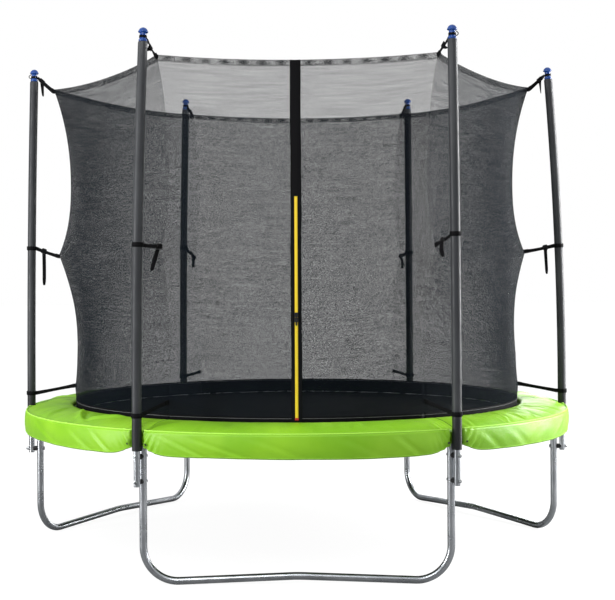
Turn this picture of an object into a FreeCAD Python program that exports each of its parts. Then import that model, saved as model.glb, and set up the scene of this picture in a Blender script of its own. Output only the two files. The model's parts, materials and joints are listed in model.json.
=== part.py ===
import FreeCAD, Part
import math
import os
import Sketcher
from FreeCAD import Placement, Rotation, Vector

# A backyard trampoline with a six-pole safety enclosure, in millimetres.
# The origin is on the ground under the centre of the jump mat. +Z is up and -Y faces the zipped door.

SIZES = {
    # top rail and its leg sockets
    "rail_radius": 1204,
    "rail_tube": 32,
    "rail_height": 575,
    "tube_wall": 1.5,
    "plug_play": 0.2,
    "plug_length": 50,
    "plug_shoulder": 3,
    # legs
    "leg_tube": 30,
    "leg_joint": 487,
    "base_joint": 197.6,
    "base_bend": 135,
    "base_rise": 18,
    # enclosure poles: straight to lean_start, then a gentle arc towards the centre
    "pole_radius": 1244,
    "pole_tube": 25,
    "pole_bottom": 388,
    "pole_joint": 1260,
    "pole_top": 2126,
    "lean_start": 660,
    "lean_right": 58,
    "lean_back_right": 11,
    "lean_back_left": 43,
    "lean_left": 19,
    "lean_front_left": 51,
    "lean_front_right": 19,
    "sleeve_tube": 38,
    "sleeve_bore": 25.6,
    "sleeve_bottom": 528,
    "sleeve_top": 2118,
    # pole caps
    "cap_plug": 21.4,
    "cap_plug_length": 25,
    "cap_flange": 34,
    "cap_flange_height": 10,
    "cap_neck": 26,
    "cap_neck_height": 33,
    "cap_head": 40,
    "cap_height": 56,
    # fasteners
    "upper_bolt": 504,
    "lower_bolt": 406,
    "bolt_size": 8,
    "bolt_hole": 8.4,
    "bolt_head": 16,
    "bolt_head_height": 5,
    "washer": 17,
    "washer_height": 1.6,
    "nut_across": 13,
    "nut_height": 6.5,
    "nut_dome": 5,
    "spacer": 22,
    # jump mat, rings and springs
    "mat_radius": 1024,
    "mat_height": 580,
    "mat_thickness": 3,
    "mat_edge": 39,
    "mat_edge_thickness": 7,
    "spring_height": 578,
    "spring_count": 48,
    "spring_coil": 19,
    "spring_wire": 3.2,
    "spring_hook_start": 1052.5,
    "spring_coil_start": 1060,
    "spring_coil_end": 1164,
    "spring_hook_end": 1193,
    "spring_hole": 7,
    "ring_start": 1010,
    "ring_apex": 1052,
    "ring_half_width": 17,
    "ring_wire": 3.2,
    # spring pad
    "pad_inner": 1032,
    "pad_inner_top": 636,
    "pad_inner_bottom": 608,
    "pad_outer": 1250,
    "pad_crease": 608,
    "pad_underside": 593,
    "skirt_bottom": 512,
    "skirt_thickness": 3,
    "pad_pole_gap": 2.5,
    # safety net and door
    "net_thickness": 1.5,
    "net_bottom": 585,
    "net_hem_centre": 2064,
    "net_hem_corner": 2088,
    "net_bottom_radius": 1015,
    "net_strap_low": 700,
    "net_strap_low_radius": 1034,
    "net_waist_low": 850,
    "net_waist_low_radius": 1021,
    "net_strap_middle": 1311,
    "net_strap_middle_radius": 1131,
    "net_waist_high": 1640,
    "net_waist_high_radius": 1074.5,
    "net_hem_radius": 1152,
    "door_low_height": 620,
    "door_low_radius": 1021,
    "door_hem_radius": 958,
    "door_band": 43,
    "door_band_thickness": 2,
    "door_band_gap": 0.6,
    "zip_low": 645,
    "zip_high": 1520,
    "zip_width": 14,
    "zip_thickness": 1.2,
    "slider_meeting": 1042,
    "slider_length": 18,
    "slider_width": 15,
    "slider_thickness": 5,
    "slider_gap": 0.4,
    "staple_height": 4,
    "staple_reach": 4,
    "staple_spread": 3.4,
    "staple_post": 1.4,
    "pin_reach": 2.7,
    "pull_length": 20,
    "pull_width": 8,
    "pull_neck": 4.6,
    "pull_thickness": 2,
    "pull_eye": 4.4,
    "pull_pin": 2,
    "pull_hole": 2.5,
    # webbing straps
    "strap_width": 18,
    "strap_thickness": 2,
    "strap_tail": 90,
    "strap_play": 0.5,
    "strap_net_gap": 3,
    "strap_middle_height": 1345,
    "strap_low_height": 665,
}

# The six corners of the hexagon, counter-clockwise from +X.
CORNERS = ["right", "back_right", "back_left", "left", "front_left", "front_right"]
CORNER_STEP = 60
X_AXIS = Vector(1, 0, 0)
Y_AXIS = Vector(0, 1, 0)
Z_AXIS = Vector(0, 0, 1)

doc = FreeCAD.newDocument("trampoline")
sheet = doc.addObject("Spreadsheet::Sheet", "sizes")
for row, (alias, value) in enumerate(SIZES.items(), start=1):
    sheet.set(f"A{row}", alias)
    sheet.set(f"B{row}", str(value))
    sheet.setAlias(f"B{row}", alias)
doc.recompute()

parts = []


# ---------------------------------------------------------------- helpers


def number(expression):
    """The value of an expression of the sheet's cells."""
    result = sheet.evalExpression(str(expression).replace("sizes.", ""))
    return float(getattr(result, "Value", result))


def bind(thing, path, expression):
    thing.setExpression(path, str(expression))


def turned(angle, offset=None):
    """A placement turned about Z, moved first by offset."""
    rotation = Rotation(Z_AXIS, angle)
    return Placement(rotation.multVec(offset or Vector()), rotation)


def new_body(label, placement=None):
    body = doc.addObject("PartDesign::Body", label)
    body.Label = label
    body.Placement = placement or Placement()
    parts.append(body)
    return body


def origin_item(body, role):
    return next(item for item in body.Origin.OriginFeatures if item.Role == role)


def new_sketch(body, role, height=None, turn=None):
    """A sketch on an origin plane, lifted by height along its normal and turned from that plane."""
    sketch = body.newObject("Sketcher::SketchObject", "Sketch")
    sketch.AttachmentSupport = [(origin_item(body, role), "")]
    sketch.MapMode = "FlatFace"
    lift = Vector(0, 0, number(height) if height else 0)
    if turn:
        sketch.AttachmentOffset = Placement(turn.multVec(lift), turn)
    elif height:
        sketch.AttachmentOffset = Placement(lift, Rotation())
        bind(sketch, "AttachmentOffset.Base.z", height)
    return sketch


def pin_coordinate(sketch, kind, item, point, expression):
    """Holds one coordinate of a sketch point at an expression's value."""
    value = number(expression)
    if abs(value) < 1e-9:
        axis = -2 if kind == "DistanceX" else -1
        sketch.addConstraint(Sketcher.Constraint("PointOnObject", item, point, axis))
        return
    if value > 0:
        index = sketch.addConstraint(Sketcher.Constraint(kind, -1, 1, item, point, value))
        bind(sketch, f"Constraints[{index}]", expression)
        return
    index = sketch.addConstraint(Sketcher.Constraint(kind, item, point, -1, 1, -value))
    bind(sketch, f"Constraints[{index}]", f"-({expression})")


def draw_circle(sketch, diameter, x="0", y="0"):
    centre = Vector(number(x), number(y), 0)
    item = sketch.addGeometry(Part.Circle(centre, Z_AXIS, number(diameter) / 2))
    index = sketch.addConstraint(Sketcher.Constraint("Diameter", item, number(diameter)))
    bind(sketch, f"Constraints[{index}]", diameter)
    pin_coordinate(sketch, "DistanceX", item, 3, x)
    pin_coordinate(sketch, "DistanceY", item, 3, y)


def draw_outline(sketch, points):
    """A closed outline of points (x, y), or (x, y, (mid_x, mid_y)) where an arc through mid leads there."""
    places = [Vector(number(point[0]), number(point[1]), 0) for point in points]
    items = []
    for index, point in enumerate(points):
        start = places[index - 1]
        if len(point) == 3:
            middle = Vector(number(point[2][0]), number(point[2][1]), 0)
            items.append(sketch.addGeometry(Part.Arc(start, middle, places[index])))
        else:
            items.append(sketch.addGeometry(Part.LineSegment(start, places[index])))
    for index, item in enumerate(items):
        end = end_at(sketch, item, places[index])
        following = items[(index + 1) % len(items)]
        start = end_at(sketch, following, places[index])
        sketch.addConstraint(Sketcher.Constraint("Coincident", item, end, following, start))
        pin_coordinate(sketch, "DistanceX", item, end, points[index][0])
        pin_coordinate(sketch, "DistanceY", item, end, points[index][1])


def end_at(sketch, item, place):
    """The number of the end of a line or arc that is at a place."""
    return 2 if sketch.getPoint(item, 2).distanceToPoint(place) < 1e-6 else 1


def add_pad(body, sketch, length, backwards=False, symmetric=False):
    pad = body.newObject("PartDesign::Pad", "Pad")
    pad.Profile = sketch
    pad.SideType = "Symmetric" if symmetric else "One side"
    pad.Reversed = backwards
    bind(pad, "Length", length)
    return pad


def add_pocket(body, sketch, length, backwards=False, symmetric=False):
    pocket = body.newObject("PartDesign::Pocket", "Pocket")
    pocket.Profile = sketch
    pocket.SideType = "Symmetric" if symmetric else "One side"
    pocket.Reversed = backwards
    bind(pocket, "Length", length)
    return pocket


def add_turned(body, sketch, axis="V_Axis", ahead=None, behind="0", cut=False):
    """A revolution or groove of a sketch: a full turn, or ahead and behind degrees to each side of it."""
    feature = body.newObject("PartDesign::Groove" if cut else "PartDesign::Revolution", "Turn")
    feature.Profile = sketch
    feature.ReferenceAxis = (sketch, [axis])
    if ahead is None:
        feature.Angle = 360
        return feature
    feature.Type = "TwoAngles"
    feature.Angle = number(ahead)
    feature.Angle2 = number(behind)
    return feature


def add_pipe(body, profile, path):
    pipe = body.newObject("PartDesign::AdditivePipe", "Pipe")
    pipe.Profile = profile
    pipe.Spine = (path, [])
    return pipe


def repeat_round(body, count, angle=360, features=None):
    """Repeats features, or the whole body, about Z."""
    doc.recompute()
    pattern = body.newObject("PartDesign::PolarPattern", "Round")
    if features:
        pattern.Originals = features
    else:
        pattern.TransformMode = "Whole shape"
    pattern.Axis = (origin_item(body, "Z_Axis"), [""])
    pattern.Angle = angle
    pattern.Occurrences = count
    body.Tip = pattern
    return pattern


def repeat_at_both_bolts(body):
    """Repeats the whole body from the upper bolt's height at the lower bolt's."""
    doc.recompute()
    pattern = body.newObject("PartDesign::LinearPattern", "BoltHeights")
    pattern.TransformMode = "Whole shape"
    pattern.Direction = (origin_item(body, "Z_Axis"), [""])
    pattern.Reversed = True
    bind(pattern, "Length", "sizes.upper_bolt - sizes.lower_bolt")
    pattern.Occurrences = 2
    body.Tip = pattern


def add_shape(label, shape, placement=None):
    feature = doc.addObject("Part::Feature", label)
    feature.Label = label
    feature.Shape = shape
    feature.Placement = placement or Placement()
    parts.append(feature)
    return feature


# ---------------------------------------------------------------- frame tubes


def swaged_bore(tube):
    """The bore of a swaged end that slips into a tube of the same outside size."""
    return f"({tube} - 4 * sizes.tube_wall - 2 * sizes.plug_play)"


def swaged_size(tube):
    return f"({tube} - 2 * sizes.tube_wall - 2 * sizes.plug_play)"


def add_rail(corner, angle):
    """A sixth of the top rail, with a leg socket under its middle and holes for eight springs."""
    body = new_body(f"rail_{corner}", turned(angle, Vector(0, 0, number("sizes.rail_height"))))
    bind(body, "Placement.Base.z", "sizes.rail_height")
    half_span = CORNER_STEP / 2
    plug_span = math.degrees(number("sizes.plug_length") / number("sizes.rail_radius"))
    tube = "sizes.rail_tube"

    outside = new_sketch(body, "XZ_Plane")
    draw_circle(outside, tube, "sizes.rail_radius")
    add_turned(body, outside, ahead=half_span, behind=half_span)
    plug = new_sketch(body, "XZ_Plane")
    draw_circle(plug, swaged_size(tube), "sizes.rail_radius")
    add_turned(body, plug, ahead=half_span + plug_span)
    socket = new_sketch(body, "XY_Plane")
    draw_circle(socket, "sizes.leg_tube", "sizes.rail_radius")
    add_pad(body, socket, "sizes.rail_height - sizes.leg_joint", backwards=True)

    inside = new_sketch(body, "XZ_Plane")
    draw_circle(inside, f"{tube} - 2 * sizes.tube_wall", "sizes.rail_radius")
    add_turned(body, inside, ahead=half_span - plug_span / 10, behind=half_span, cut=True)
    plug_bore = new_sketch(body, "XZ_Plane")
    draw_circle(plug_bore, swaged_bore(tube), "sizes.rail_radius")
    add_turned(body, plug_bore, ahead=half_span + plug_span, cut=True)
    socket_bore = new_sketch(body, "XY_Plane", "sizes.leg_joint - sizes.rail_height")
    draw_circle(socket_bore, "sizes.leg_tube - 2 * sizes.tube_wall", "sizes.rail_radius")
    add_pocket(body, socket_bore, f"sizes.rail_height - sizes.leg_joint - {tube} / 2", backwards=True)
    bolt_hole = new_sketch(body, "YZ_Plane")
    draw_circle(bolt_hole, "sizes.bolt_hole", "0", "sizes.upper_bolt - sizes.rail_height")
    add_pocket(body, bolt_hole, f"sizes.rail_radius + {tube}", backwards=True)

    holes = number("sizes.spring_count") / len(CORNERS)
    pitch = CORNER_STEP / holes
    first = -(holes - 1) / 2 * pitch
    spring_hole = new_sketch(
        body, "YZ_Plane", f"sizes.rail_radius - {tube} / 2 - 2", Rotation(Y_AXIS, first)
    )
    draw_circle(spring_hole, "sizes.spring_hole", "0", "sizes.spring_height - sizes.rail_height")
    drilled = add_pocket(body, spring_hole, f"{tube} / 2", backwards=True)
    repeat_round(body, int(holes), (holes - 1) * pitch, [drilled])


def add_leg_upright(corner, angle):
    """The straight part of a leg: its swaged top slips into the rail's socket."""
    offset = Vector(number("sizes.rail_radius"), 0, number("sizes.base_joint"))
    body = new_body(f"leg_upright_{corner}", turned(angle, offset))
    height = "(sizes.leg_joint - sizes.base_joint)"
    outer = "sizes.leg_tube / 2"
    inner = "(sizes.leg_tube / 2 - sizes.tube_wall)"
    plug_outer = f"({inner} - sizes.plug_play)"
    plug_inner = f"({plug_outer} - sizes.tube_wall)"
    section = new_sketch(body, "XZ_Plane")
    draw_outline(
        section,
        [
            (inner, "0"),
            (outer, "0"),
            (outer, height),
            (plug_outer, height),
            (plug_outer, f"{height} + sizes.plug_length"),
            (plug_inner, f"{height} + sizes.plug_length"),
            (plug_inner, f"{height} - sizes.plug_shoulder"),
            (inner, f"{height} - sizes.plug_shoulder"),
        ],
    )
    add_turned(body, section)
    bolt_holes = new_sketch(body, "YZ_Plane")
    draw_circle(bolt_holes, "sizes.bolt_hole", "0", "sizes.upper_bolt - sizes.base_joint")
    draw_circle(bolt_holes, "sizes.bolt_hole", "0", "sizes.lower_bolt - sizes.base_joint")
    add_pocket(body, bolt_holes, "2 * sizes.leg_tube", symmetric=True)


def add_leg_base(name, angle):
    """A base bar that joins two legs. It rises a little from its two bends to its middle."""
    middle = number("sizes.rail_radius") * math.cos(math.radians(CORNER_STEP / 2))
    body = new_body(f"leg_base_{name}", turned(angle + 90, Vector(0, -middle, 0)))
    half = number("sizes.rail_radius") * math.sin(math.radians(CORNER_STEP / 2))
    bend = number("sizes.base_bend")
    ground = number("sizes.leg_tube") / 2
    slope = math.atan2(number("sizes.base_rise"), half - bend)
    bend_centre = Vector(half - bend, ground + bend, 0)
    bend_end = bend_centre + Vector(math.sin(-slope) * bend, -math.cos(slope) * bend, 0)
    ridge_height = bend_end.y + bend_end.x * math.tan(slope)
    crown_half = number("sizes.leg_tube")
    crown_end = Vector(crown_half, ridge_height - crown_half * math.tan(slope), 0)
    crown_top = Vector(0, ridge_height - crown_half * math.tan(slope) / 2, 0)

    def mirrored(point):
        return Vector(-point.x, point.y, 0)

    top = Vector(half, number("sizes.base_joint"), 0)
    bend_start = Vector(half, bend_centre.y, 0)
    turn = math.radians(-45)
    bend_middle = bend_centre + Vector(math.cos(turn) * bend, math.sin(turn) * bend, 0)
    path = new_sketch(body, "XZ_Plane")
    path.addGeometry(Part.LineSegment(mirrored(top), mirrored(bend_start)))
    path.addGeometry(Part.Arc(mirrored(bend_start), mirrored(bend_middle), mirrored(bend_end)))
    path.addGeometry(Part.LineSegment(mirrored(bend_end), mirrored(crown_end)))
    path.addGeometry(Part.Arc(mirrored(crown_end), crown_top, crown_end))
    path.addGeometry(Part.LineSegment(crown_end, bend_end))
    path.addGeometry(Part.Arc(bend_end, bend_middle, bend_start))
    path.addGeometry(Part.LineSegment(bend_start, top))
    bends = (1, 5)
    for item in range(path.GeometryCount):
        if item in bends:
            index = path.addConstraint(Sketcher.Constraint("Radius", item, bend))
            bind(path, f"Constraints[{index}]", "sizes.base_bend")
        else:
            path.addConstraint(Sketcher.Constraint("Block", item))
    profile = new_sketch(body, "XY_Plane", "sizes.base_joint")
    chord = f"(sizes.rail_radius * sin({CORNER_STEP / 2}))"
    draw_circle(profile, "sizes.leg_tube", f"-{chord}")
    draw_circle(profile, "sizes.leg_tube - 2 * sizes.tube_wall", f"-{chord}")
    add_pipe(body, profile, path)

    shoulder = new_sketch(body, "XY_Plane", "sizes.base_joint")
    plugs = new_sketch(body, "XY_Plane", "sizes.base_joint")
    for side in (f"-{chord}", chord):
        draw_circle(shoulder, "sizes.leg_tube", side)
        draw_circle(shoulder, swaged_bore("sizes.leg_tube"), side)
        draw_circle(plugs, swaged_size("sizes.leg_tube"), side)
        draw_circle(plugs, swaged_bore("sizes.leg_tube"), side)
    add_pad(body, shoulder, "sizes.plug_shoulder", backwards=True)
    add_pad(body, plugs, "sizes.plug_length")


# ---------------------------------------------------------------- enclosure poles


def lean_radius(corner):
    """The radius of the arc that a pole bows along, as an expression."""
    return f"((sizes.pole_top - sizes.lean_start)^2 / (2 * sizes.lean_{corner}))"


def pole_point(corner, height):
    """(distance from the centre axis, tilt in radians) of a pole's axis at a height."""
    radius = number(lean_radius(corner))
    rise = max(height - number("sizes.lean_start"), 0)
    tilt = math.asin(rise / radius)
    return number("sizes.pole_radius") - radius * (1 - math.cos(tilt)), tilt


def pole_frame(corner, height):
    """A placement on a pole's axis at a height, before the pole is turned to its corner."""
    distance, tilt = pole_point(corner, height)
    return Placement(Vector(distance, 0, height), Rotation(Y_AXIS, -math.degrees(tilt)))


def add_pole_path(body, corner, bottom, top):
    """A pole's axis from bottom to top: a straight run where it is below lean_start, then the arc."""
    radius = number(lean_radius(corner))
    start = number("sizes.lean_start")
    centre = Vector(number("sizes.pole_radius") - radius, start, 0)
    end_angle = math.asin((number(top) - start) / radius)
    start_angle = math.asin((max(number(bottom), start) - start) / radius)
    path = new_sketch(body, "XZ_Plane")
    item = path.addGeometry(Part.ArcOfCircle(Part.Circle(centre, Z_AXIS, radius), start_angle, end_angle))
    index = path.addConstraint(Sketcher.Constraint("Radius", item, radius))
    bind(path, f"Constraints[{index}]", lean_radius(corner))
    pin_coordinate(path, "DistanceX", item, 3, f"sizes.pole_radius - {lean_radius(corner)}")
    pin_coordinate(path, "DistanceY", item, 3, "sizes.lean_start")
    pin_coordinate(path, "DistanceY", item, 2, top)
    if number(bottom) > start:
        pin_coordinate(path, "DistanceY", item, 1, bottom)
        return path
    foot = Vector(number("sizes.pole_radius"), number(bottom), 0)
    run = path.addGeometry(Part.LineSegment(foot, Vector(foot.x, start, 0)))
    path.addConstraint(Sketcher.Constraint("Coincident", run, 2, item, 1))
    path.addConstraint(Sketcher.Constraint("Vertical", run))
    pin_coordinate(path, "DistanceY", item, 1, "sizes.lean_start")
    pin_coordinate(path, "DistanceY", run, 1, bottom)
    return path


def new_sketch_across_pole(body, corner, height):
    sketch = body.newObject("Sketcher::SketchObject", "Sketch")
    sketch.AttachmentSupport = [(origin_item(body, "XY_Plane"), "")]
    sketch.MapMode = "FlatFace"
    sketch.AttachmentOffset = pole_frame(corner, number(height))
    return sketch


def add_pole_tube(label, corner, angle, bottom, top, outer, inner):
    body = new_body(label, turned(angle))
    path = add_pole_path(body, corner, bottom, top)
    profile = new_sketch_across_pole(body, corner, bottom)
    draw_circle(profile, outer)
    draw_circle(profile, inner)
    add_pipe(body, profile, path)
    return body


def add_pole(corner, angle):
    """A pole in two lengths, the upper one swaged into the lower, in a foam sleeve, with a cap."""
    tube = "sizes.pole_tube"
    bore = f"{tube} - 2 * sizes.tube_wall"
    lower = add_pole_tube(
        f"pole_lower_{corner}", corner, angle, "sizes.pole_bottom", "sizes.pole_joint", tube, bore
    )
    bolt_holes = new_sketch(lower, "YZ_Plane", "sizes.pole_radius")
    draw_circle(bolt_holes, "sizes.bolt_hole", "0", "sizes.upper_bolt")
    draw_circle(bolt_holes, "sizes.bolt_hole", "0", "sizes.lower_bolt")
    add_pocket(lower, bolt_holes, f"2 * {tube}", symmetric=True)

    upper = add_pole_tube(
        f"pole_upper_{corner}", corner, angle, "sizes.pole_joint", "sizes.pole_top", tube, bore
    )
    shoulder = new_sketch_across_pole(upper, corner, "sizes.pole_joint")
    draw_circle(shoulder, f"{tube} - sizes.tube_wall")
    draw_circle(shoulder, swaged_bore(tube))
    add_pad(upper, shoulder, "sizes.plug_shoulder")
    plug = new_sketch_across_pole(upper, corner, "sizes.pole_joint")
    draw_circle(plug, swaged_size(tube))
    draw_circle(plug, swaged_bore(tube))
    add_pad(upper, plug, "sizes.plug_length", backwards=True)

    add_pole_tube(
        f"pole_sleeve_{corner}",
        corner,
        angle,
        "sizes.sleeve_bottom",
        "sizes.sleeve_top",
        "sizes.sleeve_tube",
        "sizes.sleeve_bore",
    )
    add_pole_cap(corner, angle)


def add_pole_cap(corner, angle):
    """A mushroom-shaped cap: a plug in the pole, a flange, a neck for the strap and a domed head."""
    frame = pole_frame(corner, number("sizes.pole_top"))
    body = new_body(f"pole_cap_{corner}", turned(angle).multiply(frame))
    section = new_sketch(body, "XZ_Plane")
    head = "sizes.cap_head / 2"
    dome_foot = number(f"{head} - 2")
    dome_rise = number("sizes.cap_height - sizes.cap_neck_height - 9")
    dome_radius = (dome_foot**2 + dome_rise**2) / (2 * dome_rise)
    half_turn = (math.pi / 2 + math.asin((dome_radius - dome_rise) / dome_radius)) / 2
    dome_middle = (
        str(dome_radius * math.cos(half_turn)),
        str(number("sizes.cap_height") - dome_radius * (1 - math.sin(half_turn))),
    )
    draw_outline(
        section,
        [
            ("0", "-sizes.cap_plug_length"),
            ("sizes.cap_plug / 2", "-sizes.cap_plug_length"),
            ("sizes.cap_plug / 2", "0"),
            ("sizes.cap_flange / 2 - 2", "0"),
            (
                "sizes.cap_flange / 2 - 2",
                "sizes.cap_flange_height",
                ("sizes.cap_flange / 2", "sizes.cap_flange_height / 2"),
            ),
            ("sizes.cap_neck / 2", "sizes.cap_flange_height + 2"),
            ("sizes.cap_neck / 2", "sizes.cap_neck_height"),
            (f"{head} - 3", "sizes.cap_neck_height + 2"),
            (f"{head} - 2", "sizes.cap_neck_height + 9", (head, "sizes.cap_neck_height + 5.5")),
            ("0", "sizes.cap_height", dome_middle),
        ],
    )
    add_turned(body, section)


# ---------------------------------------------------------------- fasteners


def add_bolts():
    """Bolts from the inner side of each leg to the outer side of its pole."""
    body = new_body("pole_bolts")
    inner_side = "sizes.rail_radius - sizes.leg_tube / 2"
    outer_side = "sizes.pole_radius + sizes.pole_tube / 2"
    head = new_sketch(body, "YZ_Plane", f"{inner_side} - sizes.bolt_head_height")
    draw_circle(head, "sizes.bolt_head", "0", "sizes.upper_bolt")
    add_pad(body, head, "sizes.bolt_head_height")
    shank = new_sketch(body, "YZ_Plane", inner_side)
    draw_circle(shank, "sizes.bolt_size", "0", "sizes.upper_bolt")
    add_pad(body, shank, f"{outer_side} + sizes.washer_height + sizes.nut_height - ({inner_side})")
    repeat_at_both_bolts(body)
    repeat_round(body, len(CORNERS))


def add_nuts():
    """Domed nuts with washers on the outer side of the poles."""
    body = new_body("pole_nuts")
    start = "sizes.pole_radius + sizes.pole_tube / 2 + 0.1"
    washer = new_sketch(body, "YZ_Plane", start)
    draw_circle(washer, "sizes.washer", "0", "sizes.upper_bolt")
    add_pad(body, washer, "sizes.washer_height")
    hexagon = new_sketch(body, "YZ_Plane", f"{start} + sizes.washer_height")
    corner = "(sizes.nut_across / 2 / cos(30))"
    points = []
    for step in range(6):
        place = 60 * step
        points.append((f"{corner} * cos({place})", f"sizes.upper_bolt + {corner} * sin({place})"))
    draw_outline(hexagon, points)
    add_pad(body, hexagon, "sizes.nut_height")
    dome = new_sketch(body, "YZ_Plane", f"{start} + sizes.washer_height + sizes.nut_height")
    draw_circle(dome, "sizes.nut_across - 1.6", "0", "sizes.upper_bolt")
    cap = add_pad(body, dome, "sizes.nut_dome")
    cap.TaperAngle = -28
    bore = new_sketch(body, "YZ_Plane", start)
    draw_circle(bore, "sizes.bolt_size + 0.2", "0", "sizes.upper_bolt")
    add_pocket(body, bore, "sizes.washer_height + sizes.nut_height + 0.4", backwards=True)
    repeat_at_both_bolts(body)
    repeat_round(body, len(CORNERS))


def add_spacers():
    """Plastic saddles that hold each pole off its leg."""
    body = new_body("pole_spacers")
    block = new_sketch(body, "YZ_Plane", "sizes.rail_radius")
    draw_circle(block, "sizes.spacer", "0", "sizes.upper_bolt")
    add_pad(body, block, "sizes.pole_radius - sizes.rail_radius")
    saddles = new_sketch(body, "XY_Plane", "sizes.upper_bolt")
    draw_circle(saddles, "sizes.leg_tube + 0.2", "sizes.rail_radius")
    draw_circle(saddles, "sizes.pole_tube + 0.2", "sizes.pole_radius")
    add_pocket(body, saddles, "2 * sizes.spacer", symmetric=True)
    hole = new_sketch(body, "YZ_Plane", "sizes.rail_radius")
    draw_circle(hole, "sizes.bolt_hole", "0", "sizes.upper_bolt")
    add_pocket(body, hole, "sizes.pole_radius - sizes.rail_radius", backwards=True)
    repeat_at_both_bolts(body)
    repeat_round(body, len(CORNERS))


# ---------------------------------------------------------------- mat, rings, springs and pad


def add_jump_mat():
    """A round woven mat whose edge is folded and sewn thick."""
    body = new_body("jump_mat")
    edge = "sizes.mat_radius - sizes.mat_edge"
    middle = "(sizes.mat_height - sizes.mat_thickness / 2)"
    section = new_sketch(body, "XZ_Plane")
    draw_outline(
        section,
        [
            ("0", f"{middle} - sizes.mat_thickness / 2"),
            (edge, f"{middle} - sizes.mat_thickness / 2"),
            (edge, f"{middle} - sizes.mat_edge_thickness / 2"),
            ("sizes.mat_radius", f"{middle} - sizes.mat_edge_thickness / 2"),
            ("sizes.mat_radius", f"{middle} + sizes.mat_edge_thickness / 2"),
            (edge, f"{middle} + sizes.mat_edge_thickness / 2"),
            (edge, f"{middle} + sizes.mat_thickness / 2"),
            ("0", f"{middle} + sizes.mat_thickness / 2"),
        ],
    )
    add_turned(body, section)


def add_mat_rings():
    """Triangular wire rings sewn into the mat's edge, one for each spring."""
    body = new_body("mat_rings")
    count = int(number("sizes.spring_count"))
    turn = Rotation(Z_AXIS, 180 / count)
    outline = new_sketch(body, "XY_Plane", "sizes.spring_height - sizes.ring_wire / 2", turn)
    wire = "sizes.ring_wire"
    draw_outline(
        outline,
        [
            ("sizes.ring_start", "-sizes.ring_half_width"),
            ("sizes.ring_apex", "0"),
            ("sizes.ring_start", "sizes.ring_half_width"),
        ],
    )
    draw_outline(
        outline,
        [
            (f"sizes.ring_start + {wire}", f"-sizes.ring_half_width + 1.6 * {wire}"),
            (f"sizes.ring_apex - 2.6 * {wire}", "0"),
            (f"sizes.ring_start + {wire}", f"sizes.ring_half_width - 1.6 * {wire}"),
        ],
    )
    add_pad(body, outline, wire)
    repeat_round(body, count)


def add_springs():
    """Tension springs from the mat's rings to the holes in the rail."""
    body = new_body("springs")
    count = int(number("sizes.spring_count"))
    turn = Rotation(Y_AXIS, 180 / count)
    stretches = [
        ("sizes.spring_hook_start", "sizes.spring_coil_start", "sizes.spring_wire"),
        ("sizes.spring_coil_start", "sizes.spring_coil_end", "sizes.spring_coil"),
        ("sizes.spring_coil_end", "sizes.spring_hook_end", "sizes.spring_wire"),
    ]
    for start, end, diameter in stretches:
        section = new_sketch(body, "YZ_Plane", start, turn)
        draw_circle(section, diameter, "0", "sizes.spring_height")
        add_pad(body, section, f"{end} - {start}")
    repeat_round(body, count)


def add_spring_pad():
    """The padded ring over the springs, with a skirt outside the rail and a notch at each pole."""
    body = new_body("spring_pad")
    section = new_sketch(body, "XZ_Plane")
    skirt = "(sizes.pad_outer - sizes.skirt_thickness)"
    draw_outline(
        section,
        [
            ("sizes.pad_inner", "sizes.pad_inner_bottom"),
            ("sizes.rail_radius - sizes.rail_tube / 2", "sizes.pad_underside"),
            (skirt, "sizes.pad_underside"),
            (f"{skirt} - 3", "sizes.skirt_bottom"),
            ("sizes.pad_outer - 3", "sizes.skirt_bottom"),
            ("sizes.pad_outer", "sizes.pad_underside"),
            (
                "sizes.pad_outer - 14",
                "sizes.pad_crease",
                ("sizes.pad_outer - 3.5", "sizes.pad_crease - 4.5"),
            ),
            ("sizes.pad_inner + 12", "sizes.pad_inner_top"),
            (
                "sizes.pad_inner",
                "sizes.pad_inner_top - 12",
                ("sizes.pad_inner + 3.5", "sizes.pad_inner_top - 3.5"),
            ),
        ],
    )
    add_turned(body, section)
    notch = new_sketch(body, "XY_Plane")
    draw_circle(notch, "sizes.sleeve_tube + 2 * sizes.pad_pole_gap", "sizes.pole_radius")
    cut = add_pocket(body, notch, "2 * sizes.rail_height", backwards=True)
    repeat_round(body, len(CORNERS), features=[cut])


# ---------------------------------------------------------------- safety net and door


def eased(start, end, share, power):
    return start + (end - start) * min(max(share, 0), 1) ** power


def net_corner_radius(corner, height):
    """The net's corner line: pulled out at the straps, drawn in between them and inward with a bowed pole."""
    strap_low, waist_low = number("sizes.net_strap_low"), number("sizes.net_waist_low")
    strap_middle, waist_high = number("sizes.net_strap_middle"), number("sizes.net_waist_high")
    hem, bottom = number("sizes.net_hem_corner"), number("sizes.net_bottom")
    low_radius, high_radius = number("sizes.net_waist_low_radius"), number("sizes.net_waist_high_radius")
    strap_low_radius = number("sizes.net_strap_low_radius")
    middle_radius = number("sizes.net_strap_middle_radius")
    above_low = (height - waist_low) / (strap_middle - waist_low)
    inward = number(f"sizes.lean_{corner}") * eased(0, 1, above_low, 1)
    if height > waist_high:
        share = (height - waist_high) / (hem - waist_high)
        return eased(high_radius, number("sizes.net_hem_radius"), share, 2.1) - inward
    if height > strap_middle:
        share = (waist_high - height) / (waist_high - strap_middle)
        return eased(high_radius, middle_radius, share, 2.5) - inward
    if height > waist_low:
        return eased(low_radius, middle_radius, above_low, 1.8) - inward
    if height > strap_low:
        share = (waist_low - height) / (waist_low - strap_low)
        return eased(low_radius, strap_low_radius, share, 2)
    share = (height - bottom) / (strap_low - bottom)
    return eased(number("sizes.net_bottom_radius"), strap_low_radius, share, 1)


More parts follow.
